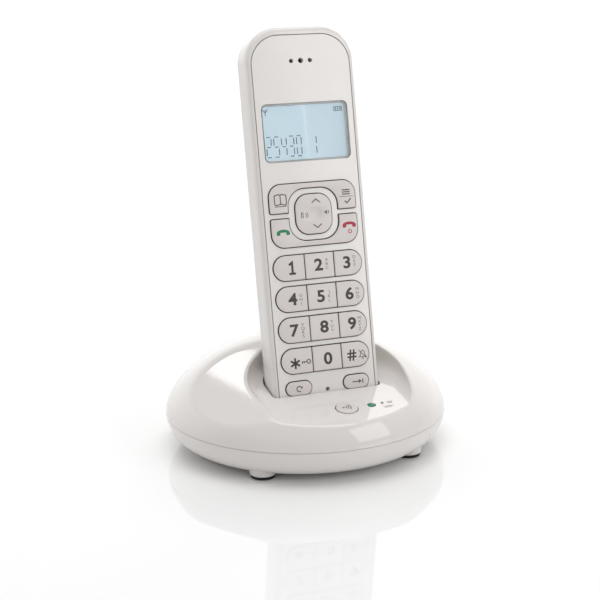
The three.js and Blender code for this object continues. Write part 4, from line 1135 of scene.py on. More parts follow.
@dataclass
class Keypad:
    """The keys and what is printed on them."""

    edge: float = 0.42
    dimple: tuple[float, float, float] = (7.0, 0.9, 0.7)
    rows: tuple[tuple[str, str, str], ...] = (
        ("key_1", "key_2", "key_3"),
        ("key_4", "key_5", "key_6"),
        ("key_7", "key_8", "key_9"),
        ("key_star", "key_0", "key_hash"),
    )

    def cap(self, node: str, outline: Outline) -> None:
        """Builds one key cap in place of its CAD node."""
        cap = Solid.plate([outline], -KEYS.proud, KEYS.foot, self.edge, 4)
        # The cap's side walls take painted shade, a dark grey for the shade in the gap round the key.
        cap.place(HANDSET).piece(
            f"{node}_cap", node, Finish.KEY_PAINT, [node], "key_rubber", 50, Finish.PAINTED_SHADE_SKIRT, ACROSS_FACE
        )

    def caps(self) -> None:
        """Builds every cap, the navigation key with a dimple in its middle."""
        for number, row in enumerate(self.rows):
            for column, node in enumerate(row):
                self.cap(node, KEYS.row_key(number, column))
        self.cap("key_recall", KEYS.small_key(-1, 0))
        self.cap("key_redial", KEYS.small_key(1, 0))
        self.cap("menu_rocker", KEYS.rocker(1, 0))
        self.cap("call_rocker", KEYS.rocker(-1, 0))
        key = Solid.plate([KEYS.navigation_key(0)], -KEYS.proud, KEYS.foot, self.edge, 4)
        ball, x, deep = self.dimple
        arc = [(ball * math.sin(turn), -ball * math.cos(turn)) for turn in angles(math.pi, 40)]
        bowl = Solid.turned(arc, 64)
        key.cut(bowl.place(Matrix.Translation((x, -KEYS.proud - (ball - deep), KEYS.middle)) @ FACE))
        # Its side walls take painted shade too, for the shaded gap round the key.
        key.place(HANDSET).piece(
            "navigation_key_cap",
            "navigation_key",
            Finish.KEY_PAINT,
            ["navigation_key"],
            "key_rubber",
            50,
            Finish.PAINTED_SHADE_SKIRT,
            ACROSS_FACE,
        )

    def printed(
        self, name: str, node: str, finish: Finish, drawing: Print, depth: float | None = None
    ) -> None:
        """Lays a drawing on a key, or on the face if a depth is given.

        Args:
            name: The piece's name.
            node: The body that it rides on.
            finish: The ink.
            drawing: What is drawn.
            depth: The depth of the surface, if it isn't a key's.
        """
        place = on_face(-KEYS.proud if depth is None else depth)
        drawing.solid(place).piece(name, node, finish, [], "key_rubber")

    def build(self) -> None:
        """Builds the caps, then the legends."""
        self.caps()
        Legends(self).build()


SEGMENTS = {
    "a": ((0.12, 1.0), (0.88, 1.0)),
    "b": ((0.97, 0.92), (0.97, 0.58)),
    "c": ((0.97, 0.42), (0.97, 0.08)),
    "d": ((0.12, 0.0), (0.88, 0.0)),
    "e": ((0.03, 0.42), (0.03, 0.08)),
    "f": ((0.03, 0.92), (0.03, 0.58)),
    "g": ((0.14, 0.5), (0.86, 0.5)),
}
LIT = {"0": "abcdef", "1": "bc", "2": "abged", "3": "abgcd", "4": "fgbc", "5": "afgcd"}


@dataclass
class Legends:
    """What is printed on the keys, and the plain figures on the display."""

    pad: Keypad
    figure: tuple[float, float, float] = (5.0, 1.12, 0.2)
    places: tuple[tuple[str, float, float], ...] = (
        ("2", 0.2, 54.0),
        ("3", 13.0, 53.8),
        ("4", -12.6, 40.5),
        ("5", 0.1, 40.6),
        ("6", 13.1, 40.5),
        ("7", -12.9, 27.3),
        ("8", 0.5, 27.6),
        ("9", 13.2, 27.6),
        ("0", 1.0, 14.0),
    )
    letters: tuple[tuple[str, str, float, float], ...] = (
        ("2", "ABC", 3.9, 54.1),
        ("3", "DEF", 16.5, 54.1),
        ("4", "GHI", -8.9, 40.1),
        ("5", "JKL", 3.9, 40.3),
        ("6", "MNO", 16.7, 40.4),
        ("7", "PQRS", -9.1, 27.0),
        ("8", "TUV", 4.0, 27.5),
        ("9", "WXYZ", 16.6, 27.3),
    )
    letter_height: float = 1.3
    readout: tuple[float, float, float, float, float] = (-16.9, 3.3, 2.2, 100.4, 8.4)

    def figures(self) -> None:
        """Prints each key's figure and its letters, stacked beside it."""
        height, stretch, weight = self.figure
        for words, x, z in self.places:
            drawing = Print()
            drawing.text(words, x, z, height, stretch, weight)
            self.pad.printed(f"figure_{words}", f"key_{words}", Finish.INK, drawing)
        one = Print()
        one.stroke([(-13.0, 54.9), (-11.6, 55.9), (-11.6, 51.2)], 0.95)
        one.stroke([(-13.1, 51.2), (-10.2, 51.2)], 0.9)
        self.pad.printed("figure_1", "key_1", Finish.INK, one)
        for number, words, x, z in self.letters:
            drawing = Print()
            pitch = 1.75 if len(words) == 3 else 1.6
            for index, letter in enumerate(words):
                drawing.text(letter, x, z + ((len(words) - 1) / 2 - index) * pitch, self.letter_height, 1.1)
            self.pad.printed(f"letters_{number}", f"key_{number}", Finish.FINE_INK, drawing)

    def signs(self) -> None:
        """Prints the star, the hash, and the small pictures beside them."""
        star = Print()
        for turn in (90, 150, 210):
            reach = (2.3 * math.cos(math.radians(turn)), 2.3 * math.sin(math.radians(turn)))
            star.stroke([(-13.8 - reach[0], 13.4 - reach[1]), (-13.8 + reach[0], 13.4 + reach[1])], 0.85)
        self.pad.printed("star_sign", "key_star", Finish.INK, star)
        lock = Print()
        lock.arc(-7.8, 13.7, 0.8, 0, 360, 0.45)
        lock.stroke([(-10.9, 13.7), (-8.6, 13.7)], 0.45)
        lock.stroke([(-10.6, 13.7), (-10.6, 12.8)], 0.4)
        lock.stroke([(-9.8, 13.7), (-9.8, 13.0)], 0.4)
        self.pad.printed("lock_sign", "key_star", Finish.FINE_INK, lock)
        grid = Print()
        for offset in (-0.75, 0.75):
            grid.stroke([(11.6 + offset, 11.6), (12.2 + offset, 16.5)], 0.7)
            grid.stroke([(9.8, 14.05 + offset), (14.0, 14.05 + offset)], 0.7)
        self.pad.printed("hash_sign", "key_hash", Finish.INK, grid)
        bell = Print()
        rim = [(15.2, 12.9), (18.4, 12.9), (17.8, 13.6), (17.6, 15.0), (16.8, 15.7)]
        bell.stroke([*rim, (16.0, 15.0), (15.8, 13.6)], 0.32, True)
        bell.dot(16.8, 12.2, 0.35)
        bell.stroke([(15.1, 15.9), (18.6, 12.1)], 0.32)
        self.pad.printed("silent_sign", "key_hash", Finish.FINE_INK, bell)
        recall = Print()
        recall.arc(-13.0, 2.5, 1.1, 30, 300, 0.45)
        recall.shape([(-12.5, 3.5), (-11.2, 3.3), (-12.1, 2.4)])
        self.pad.printed("recall_sign", "key_recall", Finish.FINE_INK, recall)
        redial = Print()
        redial.stroke([(11.2, 2.6), (14.3, 2.6)], 0.5)
        redial.shape([(14.1, 1.7), (15.5, 2.6), (14.1, 3.5)])
        redial.stroke([(15.9, 1.7), (15.9, 3.5)], 0.5)
        self.pad.printed("redial_sign", "key_redial", Finish.FINE_INK, redial)

    def upper(self) -> None:
        """Prints the book and the menu lines on the upper rocker."""
        book = Print()
        for side in (-1, 1):
            outer = -14.4 + side * 2.6
            page = [(-14.4, 80.6), (outer - side * 0.5, 80.1), (outer, 80.6), (outer, 84.2)]
            book.stroke([*page, (-14.4 + side * 0.6, 84.7), (-14.4, 84.1)], 0.4)
        book.stroke([(-14.4, 80.4), (-14.4, 84.3)], 0.4)
        book.stroke([(-17.0, 79.6), (-11.8, 79.6)], 0.3)
        self.pad.printed("book_sign", "menu_rocker", Finish.INK, book)
        menu = Print()
        for line in (-0.9, 0.0, 0.9):
            menu.stroke([(13.4, 83.6 + line), (16.9, 83.6 + line)], 0.45)
        menu.stroke([(12.1, 81.7), (18.3, 81.7)], 0.2)
        menu.stroke([(14.3, 79.9), (15.3, 78.9), (17.2, 80.8)], 0.45)
        self.pad.printed("menu_sign", "menu_rocker", Finish.INK, menu)

    @staticmethod
    def receiver(x: float, z: float, width: float, raised: float) -> Outline:
        """The outline of a telephone receiver lying down.

        Args:
            x: Its middle's x.
            z: Its middle's z.
            width: Its width.
            raised: 1 if its hollow side is below, -1 if it is above.

        Returns:
            The outline, anticlockwise.
        """
        half = width / 2
        over = [(half * math.cos(turn), raised * 1.35 * math.sin(turn)) for turn in angles(math.pi, 12)]
        under = [(-half, -1.05 * raised), (-half * 0.5, -1.05 * raised), (-half * 0.42, 0.1 * raised)]
        under += [(half * 0.42, 0.1 * raised), (half * 0.5, -1.05 * raised), (half, -1.05 * raised)]
        points = [(x + dx, z + dz) for dx, dz in over + under]
        return points if raised > 0 else points[::-1]

    def lower(self) -> None:
        """Prints the green and the red receiver on the lower rocker."""
        answer = Print()
        answer.shape(self.receiver(-14.3, 68.6, 5.8, 1.0))
        self.pad.printed("answer_sign", "call_rocker", Finish.GREEN_INK, answer)
        finish = Print()
        finish.shape(self.receiver(15.5, 69.6, 6.0, 1.0))
        finish.arc(15.6, 66.9, 0.8, 130, 410, 0.32)
        finish.stroke([(15.6, 67.0), (15.6, 68.0)], 0.32)
        self.pad.printed("finish_sign", "call_rocker", Finish.RED_INK, finish)

    def ring(self) -> None:
        """Prints the signs on the navigation key."""
        marks = Print()
        marks.stroke([(-0.6, 80.1), (1.3, 81.6), (3.2, 80.1)], 0.5)
        marks.stroke([(-0.6, 71.1), (1.3, 69.6), (3.2, 71.1)], 0.5)
        marks.stroke([(-5.6, 74.0), (-5.6, 76.2), (-4.9, 76.2), (-4.9, 74.0)], 0.35)
        marks.arc(-4.6, 75.1, 1.1, -45, 45, 0.3)
        marks.arc(-4.6, 75.1, 1.9, -40, 40, 0.3)
        marks.shape([(4.8, 75.4), (5.4, 75.4), (6.0, 74.8), (6.0, 76.8), (5.4, 76.2), (4.8, 76.2)])
        marks.arc(5.9, 75.8, 0.8, -45, 45, 0.3)
        self.pad.printed("navigation_signs", "navigation_key", Finish.FINE_INK, marks, -KEYS.proud)

    def display(self) -> None:
        """Draws plain figures and two small signs on the display, just above its glass."""
        marks = Print()
        start, pitch, wide, low, height = self.readout
        for index, letter in enumerate("25430 1"):
            for name in LIT.get(letter, ""):
                ends = [(start + index * pitch + wide * x, low + height * z) for x, z in SEGMENTS[name]]
                marks.stroke(ends, 0.42)
        marks.stroke([(-16.3, 117.7), (-16.3, 120.2)], 0.35)
        marks.stroke([(-17.4, 120.4), (-16.3, 119.0), (-15.2, 120.4)], 0.35)
        marks.stroke([(14.0, 118.3), (17.4, 118.3), (17.4, 120.0), (14.0, 120.0)], 0.3, True)
        for bar in range(3):
            marks.stroke([(14.75 + bar, 118.7), (14.75 + bar, 119.6)], 0.6)
        marks.solid(on_face(3.33)).piece("display_figures", "handset", Finish.SEGMENT, [], "display")

    def build(self) -> None:
        """Prints everything."""
        self.figures()
        self.signs()
        self.upper()
        self.lower()
        self.ring()
        self.display()


# ---------------------------------------------------------------- the base


@dataclass
class BaseShells:
    """The base's two shells, lofted on rays from the middle of the cradle's floor."""

    radius: float = 62.0
    parting: float = 15.3
    rise: float = 34.0
    power: float = 1.8
    facet: tuple[float, float, float] = (55.3, 0.448, 0.295)
    crest: float = 1.2
    wall: float = 2.0
    bay_half: float = 28.5
    bay_rear: float = 24.0
    bay_corner: float = 20.0
    fillet: float = 6.0
    rim: float = 1.1
    cradle_gap: float = 0.7
    underside: tuple[float, float] = (50.0, 2.6)
    rays: int = 288
    button: tuple[float, float, float] = (1.9, -45.3, 4.6)
    light: tuple[float, float, float] = (13.1, -45.2, 1.5)
    feet: tuple[float, float, float, float] = (33.0, 38.0, 4.6, 2.4)
    screws: tuple[float, float, float, float] = (42.0, 18.0, 2.4, 3.2)
    screw_post: tuple[float, float] = (3.1, 7.5)
    screw_way: tuple[float, float] = (3.75, 7.15)
    screw_seat: float = 5.15
    screw_shank: float = 1.2
    screw_depth: float = 15.6
    boss_top: float = 4.6
    seam_gap: float = 0.06
    lip: tuple[float, float, float, float] = (58.4, 59.55, 12.5, 16.7)
    contact_slot: tuple[tuple[float, float], ...] = ((12.0, 1.85), (7.05, 8.95), (-15.5, -8.0))
    jack_bay: tuple[float, float, float] = (19.0, 51.0, 6.45)
    jacks: tuple[tuple[float, float], ...] = ((8.5, 12.4), (-9.0, 9.0))

    def skin(self, x: float, y: float, inset: float) -> float:
        """The height of the outer surface, the dome and the sloping facet blended along their crest."""
        reach = min(1.0, math.hypot(x, y) / (self.radius - inset))
        dome = self.parting + (self.rise - inset) * (1 - reach**self.power) ** (1 / self.power)
        height, across, along = self.facet
        facet = height + across * x + along * y - inset * math.sqrt(1 + across**2 + along**2)
        near = max(0.0, self.crest - abs(dome - facet)) / self.crest
        return min(dome, facet) - near * near * self.crest / 4

    def outside_floor(self, p: float, q: float, grow: float) -> float:
        """How far a point of the floor lies outside the flat of the bay, which is open to the front."""
        corner = self.bay_corner + grow
        wide = abs(p) - (self.bay_half + grow - corner)
        deep = q - (self.bay_rear + grow - corner)
        return math.hypot(max(wide, 0.0), max(deep, 0.0)) + min(max(wide, deep), 0.0) - corner

    def bay_path(self, angle: float, grow: float) -> list[Vector]:
        """The bay's floor, fillet and wall along a ray, in the base's own frame.

        Args:
            angle: The ray's direction on the floor.
            grow: How far the bay is grown into the wall.

        Returns:
            The path's points, from the floor outwards and up.
        """
        across, along = math.cos(angle), math.sin(angle)

        def reach(target: float) -> float:
            """Where along the ray the distance outside the flat is that much."""
            near, far = 0.0, 90.0
            if self.outside_floor(far * across, far * along, grow) < target:
                return far
            for _ in range(40):
                middle = (near + far) / 2
                if self.outside_floor(middle * across, middle * along, grow) < target:
                    near = middle
                else:
                    far = middle
            return (near + far) / 2

        foot = reach(0.0)
        steps = [(foot * step / 30, -grow) for step in range(31)]
        for step in range(1, 15):
            turn = math.pi / 2 * step / 14
            steps.append((reach(self.fillet * math.sin(turn)), self.fillet * (1 - math.cos(turn)) - grow))
        last = steps[-1][0]
        steps += [(last, self.fillet - grow + rise) for rise in (1, 2, 4, 6, 9, 12, 16, 20, 25, 30, 40)]
        return [FLOOR @ Vector((s * across, s * along, h)) for s, h in steps]

    @staticmethod
    def spaced(points: Sequence[Vector], count: int, start: float = 0.0) -> list[Vector]:
        """Points evenly spaced along a path, from a distance along it to its end."""
        lengths = [0.0]
        for before, after in zip(points, points[1:]):
            lengths.append(lengths[-1] + (after - before).length)
        found, at = [], 0
        for step in range(count):
            want = start + (lengths[-1] - start) * step / (count - 1)
            while at < len(lengths) - 2 and lengths[at + 1] < want:
                at += 1
            span = lengths[at + 1] - lengths[at]
            share = 0.0 if span <= 1e-9 else (want - lengths[at]) / span
            found.append(points[at].lerp(points[at + 1], min(1.0, max(0.0, share))))
        return found

    def ray(self, angle: float, grow: float, foot_z: float) -> list[Vector]:
        """One ray of the upper shell's surface: floor, fillet, wall, rim, dome and seam.

        Args:
            angle: The ray's direction on the floor.
            grow: How far the surface is set into the wall.
            foot_z: The height where it ends.

        Returns:
            The points, as many on every ray.
        """
        path = self.bay_path(angle, grow)
        at = next(
            (index for index, point in enumerate(path) if point.z > self.skin(point.x, point.y, grow)),
            len(path) - 1,
        )
        inside, outside = path[at - 1], path[at]
        for _ in range(40):
            middle = (inside + outside) / 2
            if middle.z > self.skin(middle.x, middle.y, grow):
                outside = middle
            else:
                inside = middle
        rim = inside
        inner = [*path[:at], rim]
        radius = self.radius - grow
        away = Vector((rim.x - SEAT.x, rim.y - SEAT.y)).normalized()
        here = Vector((rim.x, rim.y))
        along = here.dot(away)
        out = -along + math.sqrt(max(0.0, along**2 - here.length_squared + radius**2))
        outer = []
        for step in range(161):
            turn = math.pi / 2 * step / 160
            plan = here + away * (out * math.sin(turn))
            outer.append(Vector((plan.x, plan.y, self.skin(plan.x, plan.y, grow))))
        trim = min(self.rim, out / 3)
        lower = self.spaced(inner[::-1], 200, trim)[::-1]
        start = int(len(lower) * 0.45)
        low_part = self.spaced(lower[start:], 34)
        high_part = self.spaced(outer, 84, trim)
        bend = []
        for step in range(1, 6):
            part = step / 6
            before, after = low_part[-1] * (1 - part) ** 2, high_part[0] * part**2
            bend.append(before + rim * (2 * part * (1 - part)) + after)
        seam = Vector((high_part[-1].x, high_part[-1].y, 0.0)) * ((radius - 0.25) / radius)
        seam.z = foot_z
        high_part[-1].z = min(high_part[-1].z, self.parting + 0.25) if grow == 0 else high_part[-1].z
        return [*low_part, *bend, *high_part, seam]

    def under_skin(self, grow: float, foot_z: float) -> Solid:
        """The solid under the upper shell's surface, down to a height."""
        turns = [2 * math.pi * step / self.rays for step in range(self.rays)]
        rays = [self.ray(turn, grow, foot_z) for turn in turns]
        return Solid.loft([list(ring) for ring in zip(*rays)])

    def well(self, grow: float) -> Solid:
        """The pocket that the handset stands in."""
        grow += self.cradle_gap
        return Solid.prism(FORM.section(grow), FORM.bottom - grow, 77.0).place(HANDSET)

    def on_floor(self, x: float, y: float) -> tuple[float, float]:
        """A point's place on the floor's own axes."""
        return x, (y - SEAT.y) / math.cos(FLOOR_TILT)

    def top(self) -> None:
        """Builds the upper shell."""
        shell = self.under_skin(0.0, self.parting + SHUT / 2)
        hollow = self.under_skin(self.wall, self.parting - 2)
        hollow.cut(self.well(self.wall))
        shell.cut(hollow)
        thick, foot_z = self.screw_post
        for x, y in four_places(self.screws[0], self.screws[1]):
            outward = 1 + thick / math.hypot(x, y)
            high = self.skin(x * outward, y * outward, self.wall) + 0.6
            shell.join(post(thick, x, y, foot_z, high, 40))
            shell.cut(post(self.screw_shank + SHUT, x, y, 0.0, self.screw_depth, 32))
        shell.cut(self.well(0.0))
        for (x, y, radius), gap in ((self.button, SHUT), (self.light, SHUT)):
            p, q = self.on_floor(x, y)
            shell.cut(post(radius + gap, p, q, -6, 6, 64).place(FLOOR))
        (across, wide), (near, far), (low, high) = self.contact_slot
        for side in (-1, 1):
            slot = block((side * across - wide, near, low), (side * across + wide, far, high))
            shell.cut(slot.place(HANDSET))
        shell.piece("base_upper", "base", Finish.GLOSS_ABS, ["base_top_shell"], "white_shell", 40)

    def bowl(self, inset: float, rim_z: float) -> Solid:
        """The lower half as a solid, set in by an amount, up to a rim."""
        flat, foot = self.underside
        profile = [(0.0, foot + inset)]
        for step in range(24):
            turn = math.pi / 2 * step / 24
            profile.append((flat + (self.radius - flat - inset) * math.sin(turn),
                            self.parting - (self.parting - foot - inset) * math.cos(turn)))
        edge = self.radius - inset
        profile += [(edge, rim_z - 0.45), (edge - 0.4, rim_z), (0.0, rim_z)]
        return Solid.turned(profile, self.rays)

    def bottom(self) -> None:
        """Builds the lower shell, with a lip behind the seam, foot bosses, screw ways and the jack bay."""
        rim_z = self.parting - self.seam_gap
        shell = self.bowl(0.0, rim_z)
        half, bay_y, bay_z = self.jack_bay
        hollow = self.bowl(self.wall, self.parting + 1)
        hollow.cut(block((-half - 2, bay_y - 2, 0), (half + 2, 70, 30)))
        for x, y in four_places(self.screws[0], self.screws[1]):
            hollow.cut(post(self.screw_way[0], x, y, 0.0, self.screw_way[1], 40))
        shell.cut(hollow)
        inner, outer, low, high = self.lip
        lip = post(outer, 0, 0, low, high, self.rays).cut(post(inner, 0, 0, low - 0.5, high + 0.3, self.rays))
        lip.cut(block((-half - 2, bay_y - 2, 0), (half + 2, 70, 30)))
        shell.join(lip)
        x_foot, y_foot, foot_radius, foot_height = self.feet
        boss = [
            (foot_radius + 0.6 + 0.6 * math.sin(turn), 2.3 - 0.9 * math.cos(turn))
            for turn in angles(math.pi / 2, 8)
        ]
        boss = [(0.0, 1.4), *boss, (foot_radius + 1.2, self.boss_top), (0.0, self.boss_top)]
        for x, y in four_places(x_foot, y_foot):
            shell.join(Solid.turned(boss, 64).place(Matrix.Translation((x, y, 0))))
            shell.cut(post(foot_radius + SHUT, x, y, 0.0, foot_height + SHUT, 64))
        for x, y in four_places(self.screws[0], self.screws[1]):
            shell.cut(post(self.screws[2] + SHUT, x, y, 0.0, self.screw_seat, 40))
            shell.cut(post(self.screw_shank + SHUT, x, y, 0.0, 20, 32))
        shell.cut(block((-half, bay_y, bay_z), (half, 80, 30)))
        for x, width in self.jacks:
            reach = width / 2 + SHUT
            shell.cut(block((x - reach, bay_y - 3, bay_z), (x + reach, bay_y + 1, 30)))
        shell.piece("base_lower", "base", Finish.GLOSS_ABS, ["base_bottom_shell"], "white_shell", 40)

    def build(self) -> None:
        """Builds both shells."""
        self.top()
        self.bottom()


class GridPlan:
    """Copies of one piece at the points of a grid, made with geometry nodes."""

    def __init__(self) -> None:
        """Builds the node tree: a grid, a copy on each of its points, and a finish."""
        self.tree = bpy.data.node_groups.new("piece_grid", "GeometryNodeTree")
        face = self.tree.interface
        face.new_socket("Geometry", in_out="OUTPUT", socket_type="NodeSocketGeometry")
        for name, kind in (
            ("Across", "NodeSocketFloat"),
            ("Along", "NodeSocketFloat"),
            ("Columns", "NodeSocketInt"),
            ("Rows", "NodeSocketInt"),
            ("Piece", "NodeSocketObject"),
            ("Finish", "NodeSocketMaterial"),
        ):
            face.new_socket(name, in_out="INPUT", socket_type=kind)
        given = add_node(self.tree, "NodeGroupInput").outputs
        grid = add_node(
            self.tree,
            "GeometryNodeMeshGrid",
            {
                "Size X": given["Across"],
                "Size Y": given["Along"],
                "Vertices X": given["Columns"],
                "Vertices Y": given["Rows"],
            },
        )
        source = add_node(self.tree, "GeometryNodeObjectInfo", {"Object": given["Piece"]})
        copies = add_node(
            self.tree,
            "GeometryNodeInstanceOnPoints",
            {"Points": grid.outputs["Mesh"], "Instance": source.outputs["Geometry"]},
        )
        real = add_node(self.tree, "GeometryNodeRealizeInstances", {"Geometry": copies.outputs[0]})
        dressed = add_node(
            self.tree, "GeometryNodeSetMaterial", {"Geometry": real.outputs[0], "Material": given["Finish"]}
        )
        add_node(self.tree, "NodeGroupOutput", {"Geometry": dressed.outputs[0]})

    def copies(
        self, source: Solid, across: float, along: float, columns: int, rows: int, finish: Finish
    ) -> Solid:
        """Lays copies of a solid on a grid centred on the origin.

        Args:
            source: The solid, placed about the origin, which is used up.
            across: The grid's size along x.
            along: Its size along y.
            columns: How many copies along x.
            rows: How many along y.
            finish: Their finish.

        Returns:
            The copies as one solid.
        """
        holder = Solid(bpy.data.meshes.new("grid"))
        plan = holder.item.modifiers.new("grid", "NODES")
        plan.node_group = self.tree
        values = {
            "Across": across,
            "Along": along,
            "Columns": columns,
            "Rows": rows,
            "Piece": source.item,
            "Finish": finish_material(finish),
        }
        for entry in self.tree.interface.items_tree:
            if entry.in_out == "INPUT":
                plan[entry.identifier] = values[entry.name]
        graph = bpy.context.evaluated_depsgraph_get()
        mesh = bpy.data.meshes.new_from_object(holder.item.evaluated_get(graph))
        holder.item.modifiers.clear()
        holder.item.data = mesh
        bpy.data.objects.remove(source.item)
        return holder


@dataclass
class BaseFittings:
    """The base's feet, screws, page button and light."""

    shells: BaseShells
    grid: GridPlan = field(default_factory=GridPlan)
    foot_edge: float = 0.5
    foot_flange: tuple[float, float] = (0.6, 1.3)
    screw_length: float = 12.0
    head_height: float = 1.6
    button_edge: float = 0.8
    button_proud: float = 0.7
    lamp_dome: tuple[float, float] = (-0.15, 0.5)

    def feet(self) -> None:
        """Builds the four rubber feet."""
        x, y, radius, height = self.shells.feet
        edge = self.foot_edge
        tread = radius + self.foot_flange[0]
        arc = [
            (tread - edge + edge * math.sin(turn), edge - edge * math.cos(turn))
            for turn in angles(math.pi / 2, 5)
        ]
        shoulder = [(tread, self.foot_flange[1]), (radius, self.foot_flange[1])]
        foot = Solid.turned([(0.0, 0.0), *arc, *shoulder, (radius, height), (0.0, height)], 72)
        nodes = [f"base_foot_{number}" for number in range(1, 5)]
        feet = self.grid.copies(foot, 2 * x, 2 * y, 2, 2, Finish.RUBBER)
        feet.piece("rubber_feet", "base", Finish.RUBBER, nodes, "foot_rubber", 50)

    def screws(self) -> None:
        """Builds the four screws of the underside, with cross recesses."""
        x, y, radius, head_z = self.shells.screws
        top, tip = head_z + self.head_height, head_z + self.screw_length
        shank = self.shells.screw_shank
        head = [(0, head_z), (radius - 0.4, head_z), (radius, head_z + 0.4), (radius, top)]
        screw = Solid.turned([*head, (shank, top), (shank, tip - 1), (0, tip)], 48)
        for reach in ((1.5, 0.3), (0.3, 1.5)):
            screw.cut(block((-reach[0], -reach[1], head_z - 1), (reach[0], reach[1], head_z + 0.7)))
        nodes = [f"base_screw_{number}" for number in range(1, 5)]
        screws = self.grid.copies(screw, 2 * x, 2 * y, 2, 2, Finish.ZINC)
        screws.piece("underside_screws", "base", Finish.ZINC, nodes, "screw_steel", 40)

    def button(self) -> None:
        """Builds the page button, turned with a soft edge, and the waves printed on it."""
        x, y, radius = self.shells.button
        p, q = self.shells.on_floor(x, y)
        edge, proud = self.button_edge, self.button_proud
        drop = edge * 0.7
        arc = [
            (radius - edge + edge * math.cos(turn), proud - drop + drop * math.sin(turn))
            for turn in angles(math.pi / 2, 6)
        ]
        profile = [(0, -5), (1.5, -5), (1.5, -1.2), (radius, -1.2), *arc, (0.0, proud)]
        spot = FLOOR @ Matrix.Translation((p, q, 0))
        button = Solid.turned(profile, 72).place(spot)
        button.piece("page_cap", "page_button", Finish.KEY_PAINT, ["page_button"], "face_plate", 50)
        waves = Print()
        waves.dot(-1.6, -0.2, 0.5)
        for reach in (1.3, 2.3, 3.3):
            waves.arc(-1.6, -0.2, reach, -38, 38, 0.42)
        waves.solid(spot @ Matrix.Translation((0, 0, proud))).piece(
            "page_sign", "page_button", Finish.FINE_INK, [], "key_rubber"
        )

    def lamp(self) -> None:
        """Builds the domed light and the small signs beside it."""
        x, y, radius = self.shells.light
        p, q = self.shells.on_floor(x, y)
        sunk, bulge = self.lamp_dome
        arc = [(radius * math.cos(turn), sunk + bulge * math.sin(turn)) for turn in angles(math.pi / 2, 8)]
        spot = FLOOR @ Matrix.Translation((p, q, 0))
        lamp = Solid.turned([(0, -7), (radius, -7), *arc], 48).place(spot)
        lamp.piece("status_lamp", "base", Finish.LIGHT_GUIDE, ["status_light_pipe"], "light_pipe", 50)
        signs = Print()
        bolt = [(4.6, 1.3), (5.9, 1.3), (5.2, 0.4), (6.0, 0.4), (4.5, -1.0), (5.0, 0.0), (4.3, 0.0)]
        signs.shape(bolt[::-1])
        signs.stroke([(7.2, 0.9), (9.8, 0.9)], 0.4)
        signs.stroke([(7.2, -0.1), (9.2, -0.1)], 0.4)
        signs.stroke([(4.4, -2.6), (9.0, -2.6)], 0.35)
        signs.stroke([(4.4, -3.5), (7.8, -3.5)], 0.35)
        signs.solid(spot).piece("lamp_signs", "base", Finish.FINE_INK, [], "key_rubber")

    def build(self) -> None:
        """Builds every fitting."""
        self.feet()
        self.screws()
        self.button()
        self.lamp()


class InnerParts:
    """The CAD nodes that stay as they are, each given a real finish."""

    FINISHES = {
        "circuit_board": Finish.SOLDER_MASK,
        "dark_plastic": Finish.BLACK_NYLON,
        "plug_plastic": Finish.WHITE_NYLON,
        "light_panel": Finish.WHITE_NYLON,
        "display": Finish.LCD,
        "grey_rubber": Finish.SILICONE,
        "cell_wrap": Finish.SLEEVE,
        "contact_metal": Finish.GOLD,
        "screw_steel": Finish.ZINC,
    }
    NAMES = {
        "circuit_board": "circuit_board",
        "jack": "dark_plastic",
        "switch": "dark_plastic",
        "speaker": "dark_plastic",
        "plug": "plug_plastic",
        "backlight": "light_panel",
        "display_glass": "display",
        "membrane": "grey_rubber",
        "dome": "grey_rubber",
        "cell": "cell_wrap",
        "pad": "contact_metal",
        "contact": "contact_metal",
        "screw": "screw_steel",
        "microphone": "screw_steel",
    }

    def build(self) -> None:
        """Dresses every CAD node that still shows."""
        for name, item in frame["nodes"].items():
            if item.hide_render:
                continue
            kind = next(slot for word, slot in self.NAMES.items() if word in name)
            item.data.materials.clear()
            item.data.materials.append(finish_material(self.FINISHES[kind]))
            LOG.info("%s keeps its CAD shape, as %s", name, kind)


# ---------------------------------------------------------------- the studio


@dataclass
class Card:
    """A bright rectangle that lights the object and shows in its gloss."""

    name: str
    centre: tuple[float, float, float]
    size: tuple[float, float]
    facing: tuple[float, float, float]
    power: float
    colour: tuple[float, float, float] = (1.0, 1.0, 1.0)

    def build(self) -> None:
        """Adds the light."""
        data = bpy.data.lights.new(self.name, "AREA")
        data.shape = "RECTANGLE"
        data.size, data.size_y = (size * MM for size in self.size)
        data.energy = self.power
        data.color = self.colour
        item = bpy.data.objects.new(self.name, data)
        item.location = Vector(self.centre) * MM
        toward = Vector(self.facing) - Vector(self.centre)
        item.rotation_euler = toward.to_track_quat("-Z", "Y").to_euler()
        bpy.context.scene.collection.objects.link(item)


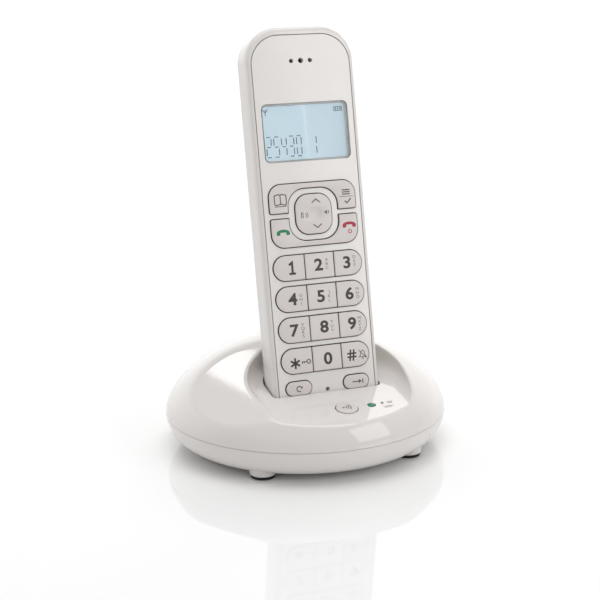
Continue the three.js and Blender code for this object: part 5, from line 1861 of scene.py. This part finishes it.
@dataclass
class Studio:
    """The floor, the lights and the camera."""

    eye: tuple[float, float, float] = (-199.544, -550.746, 211.521)
    aim: tuple[float, float, float] = (-1.355, 0.487, 63.589)
    roll: float = -1.107
    lens: float = 82.65
    dome: float = 0.5
    horizon: float = 0.9

    def floor(self) -> None:
        """Lays the white, lightly glossy floor."""
        work = bmesh.new()
        bmesh.ops.create_grid(work, x_segments=1, y_segments=1, size=6.0)
        mesh = bpy.data.meshes.new("studio_floor")
        work.to_mesh(mesh)
        work.free()
        item = bpy.data.objects.new("studio_floor", mesh)
        bpy.context.scene.collection.objects.link(item)
        material, tree, place = new_material("white_acrylic_floor")
        clouds = add_node(tree, "ShaderNodeTexNoise", {"Vector": place, "Scale": 3.0, "Detail": 2.0})
        rough = add_node(
            tree, "ShaderNodeMapRange", {"Value": clouds.outputs["Fac"], "To Min": 0.02, "To Max": 0.035}
        )
        shader = add_node(
            tree,
            "ShaderNodeBsdfPrincipled",
            {
                "Base Color": (0.93, 0.93, 0.93, 1.0),
                "Roughness": rough.outputs["Result"],
                "IOR": 1.45,
            },
        )
        close_material(tree, shader)
        item.data.materials.append(material)

    def sky(self) -> None:
        """Sets the even white surroundings."""
        world = bpy.data.worlds.new("studio")
        world.use_nodes = True
        tree = world.node_tree
        tree.nodes.clear()
        way = add_node(tree, "ShaderNodeTexCoord").outputs["Generated"]
        parts = add_node(tree, "ShaderNodeSeparateXYZ", {"Vector": way}).outputs
        low = add_node(
            tree,
            "ShaderNodeMapRange",
            {"Value": parts["Z"], "From Min": 0.4, "From Max": 0.75, "To Min": 1.0, "To Max": 0.0},
            interpolation_type="SMOOTHSTEP",
        )
        behind = add_node(
            tree,
            "ShaderNodeMapRange",
            {"Value": parts["Y"], "From Min": -0.2, "From Max": 0.5},
            interpolation_type="SMOOTHSTEP",
        )
        both = add_node(
            tree, "ShaderNodeMath", {0: low.outputs[0], 1: behind.outputs[0]}, operation="MULTIPLY"
        )
        level = add_node(
            tree,
            "ShaderNodeMath",
            {0: both.outputs[0], 1: self.horizon, 2: self.dome},
            operation="MULTIPLY_ADD",
        )
        back = add_node(
            tree, "ShaderNodeBackground", {"Color": (1.0, 1.0, 1.0, 1.0), "Strength": level.outputs[0]}
        )
        add_node(tree, "ShaderNodeOutputWorld", {"Surface": back.outputs[0]})
        bpy.context.scene.world = world
        bpy.context.scene.view_settings.view_transform = "Standard"

    def lights(self) -> None:
        """Places the cards."""
        Card("facet_card", (-230, 600, 818), (48, 70), (-10, 20, 45), 0.06).build()
        Card("rear_box", (475, 600, 575), (250, 250), (0, 0, 40), 0.3).build()
        Card("front_box", (600, -870, 430), (560, 640), (0, 0, 70), 2.6).build()
        Card("top_box", (0, 0, 900), (700, 700), (0, 0, 0), 3.1).build()

    def camera(self) -> None:
        """Places the camera."""
        data = bpy.data.cameras.new("camera")
        data.lens = self.lens
        data.sensor_width = 36.0
        data.clip_start, data.clip_end = 0.01, 20.0
        item = bpy.data.objects.new("camera", data)
        toward = Vector(self.aim) - Vector(self.eye)
        turn = toward.to_track_quat("-Z", "Y") @ Quaternion((0, 0, 1), math.radians(self.roll))
        item.rotation_mode = "QUATERNION"
        item.rotation_quaternion = turn
        item.location = Vector(self.eye) * MM
        bpy.context.scene.collection.objects.link(item)
        bpy.context.scene.camera = item

    def build(self) -> None:
        """Builds the studio."""
        self.floor()
        self.sky()
        self.lights()
        self.camera()


def main() -> None:
    """Builds the studio, then the phone."""
    logging.basicConfig(level=logging.INFO, format="%(name)s: %(message)s")
    Studio().build()
    shells = BaseShells()
    shells.build()
    BaseFittings(shells).build()
    HandsetShells().build()
    Keypad().build()
    InnerParts().build()


if __name__ == "__main__":
    main()
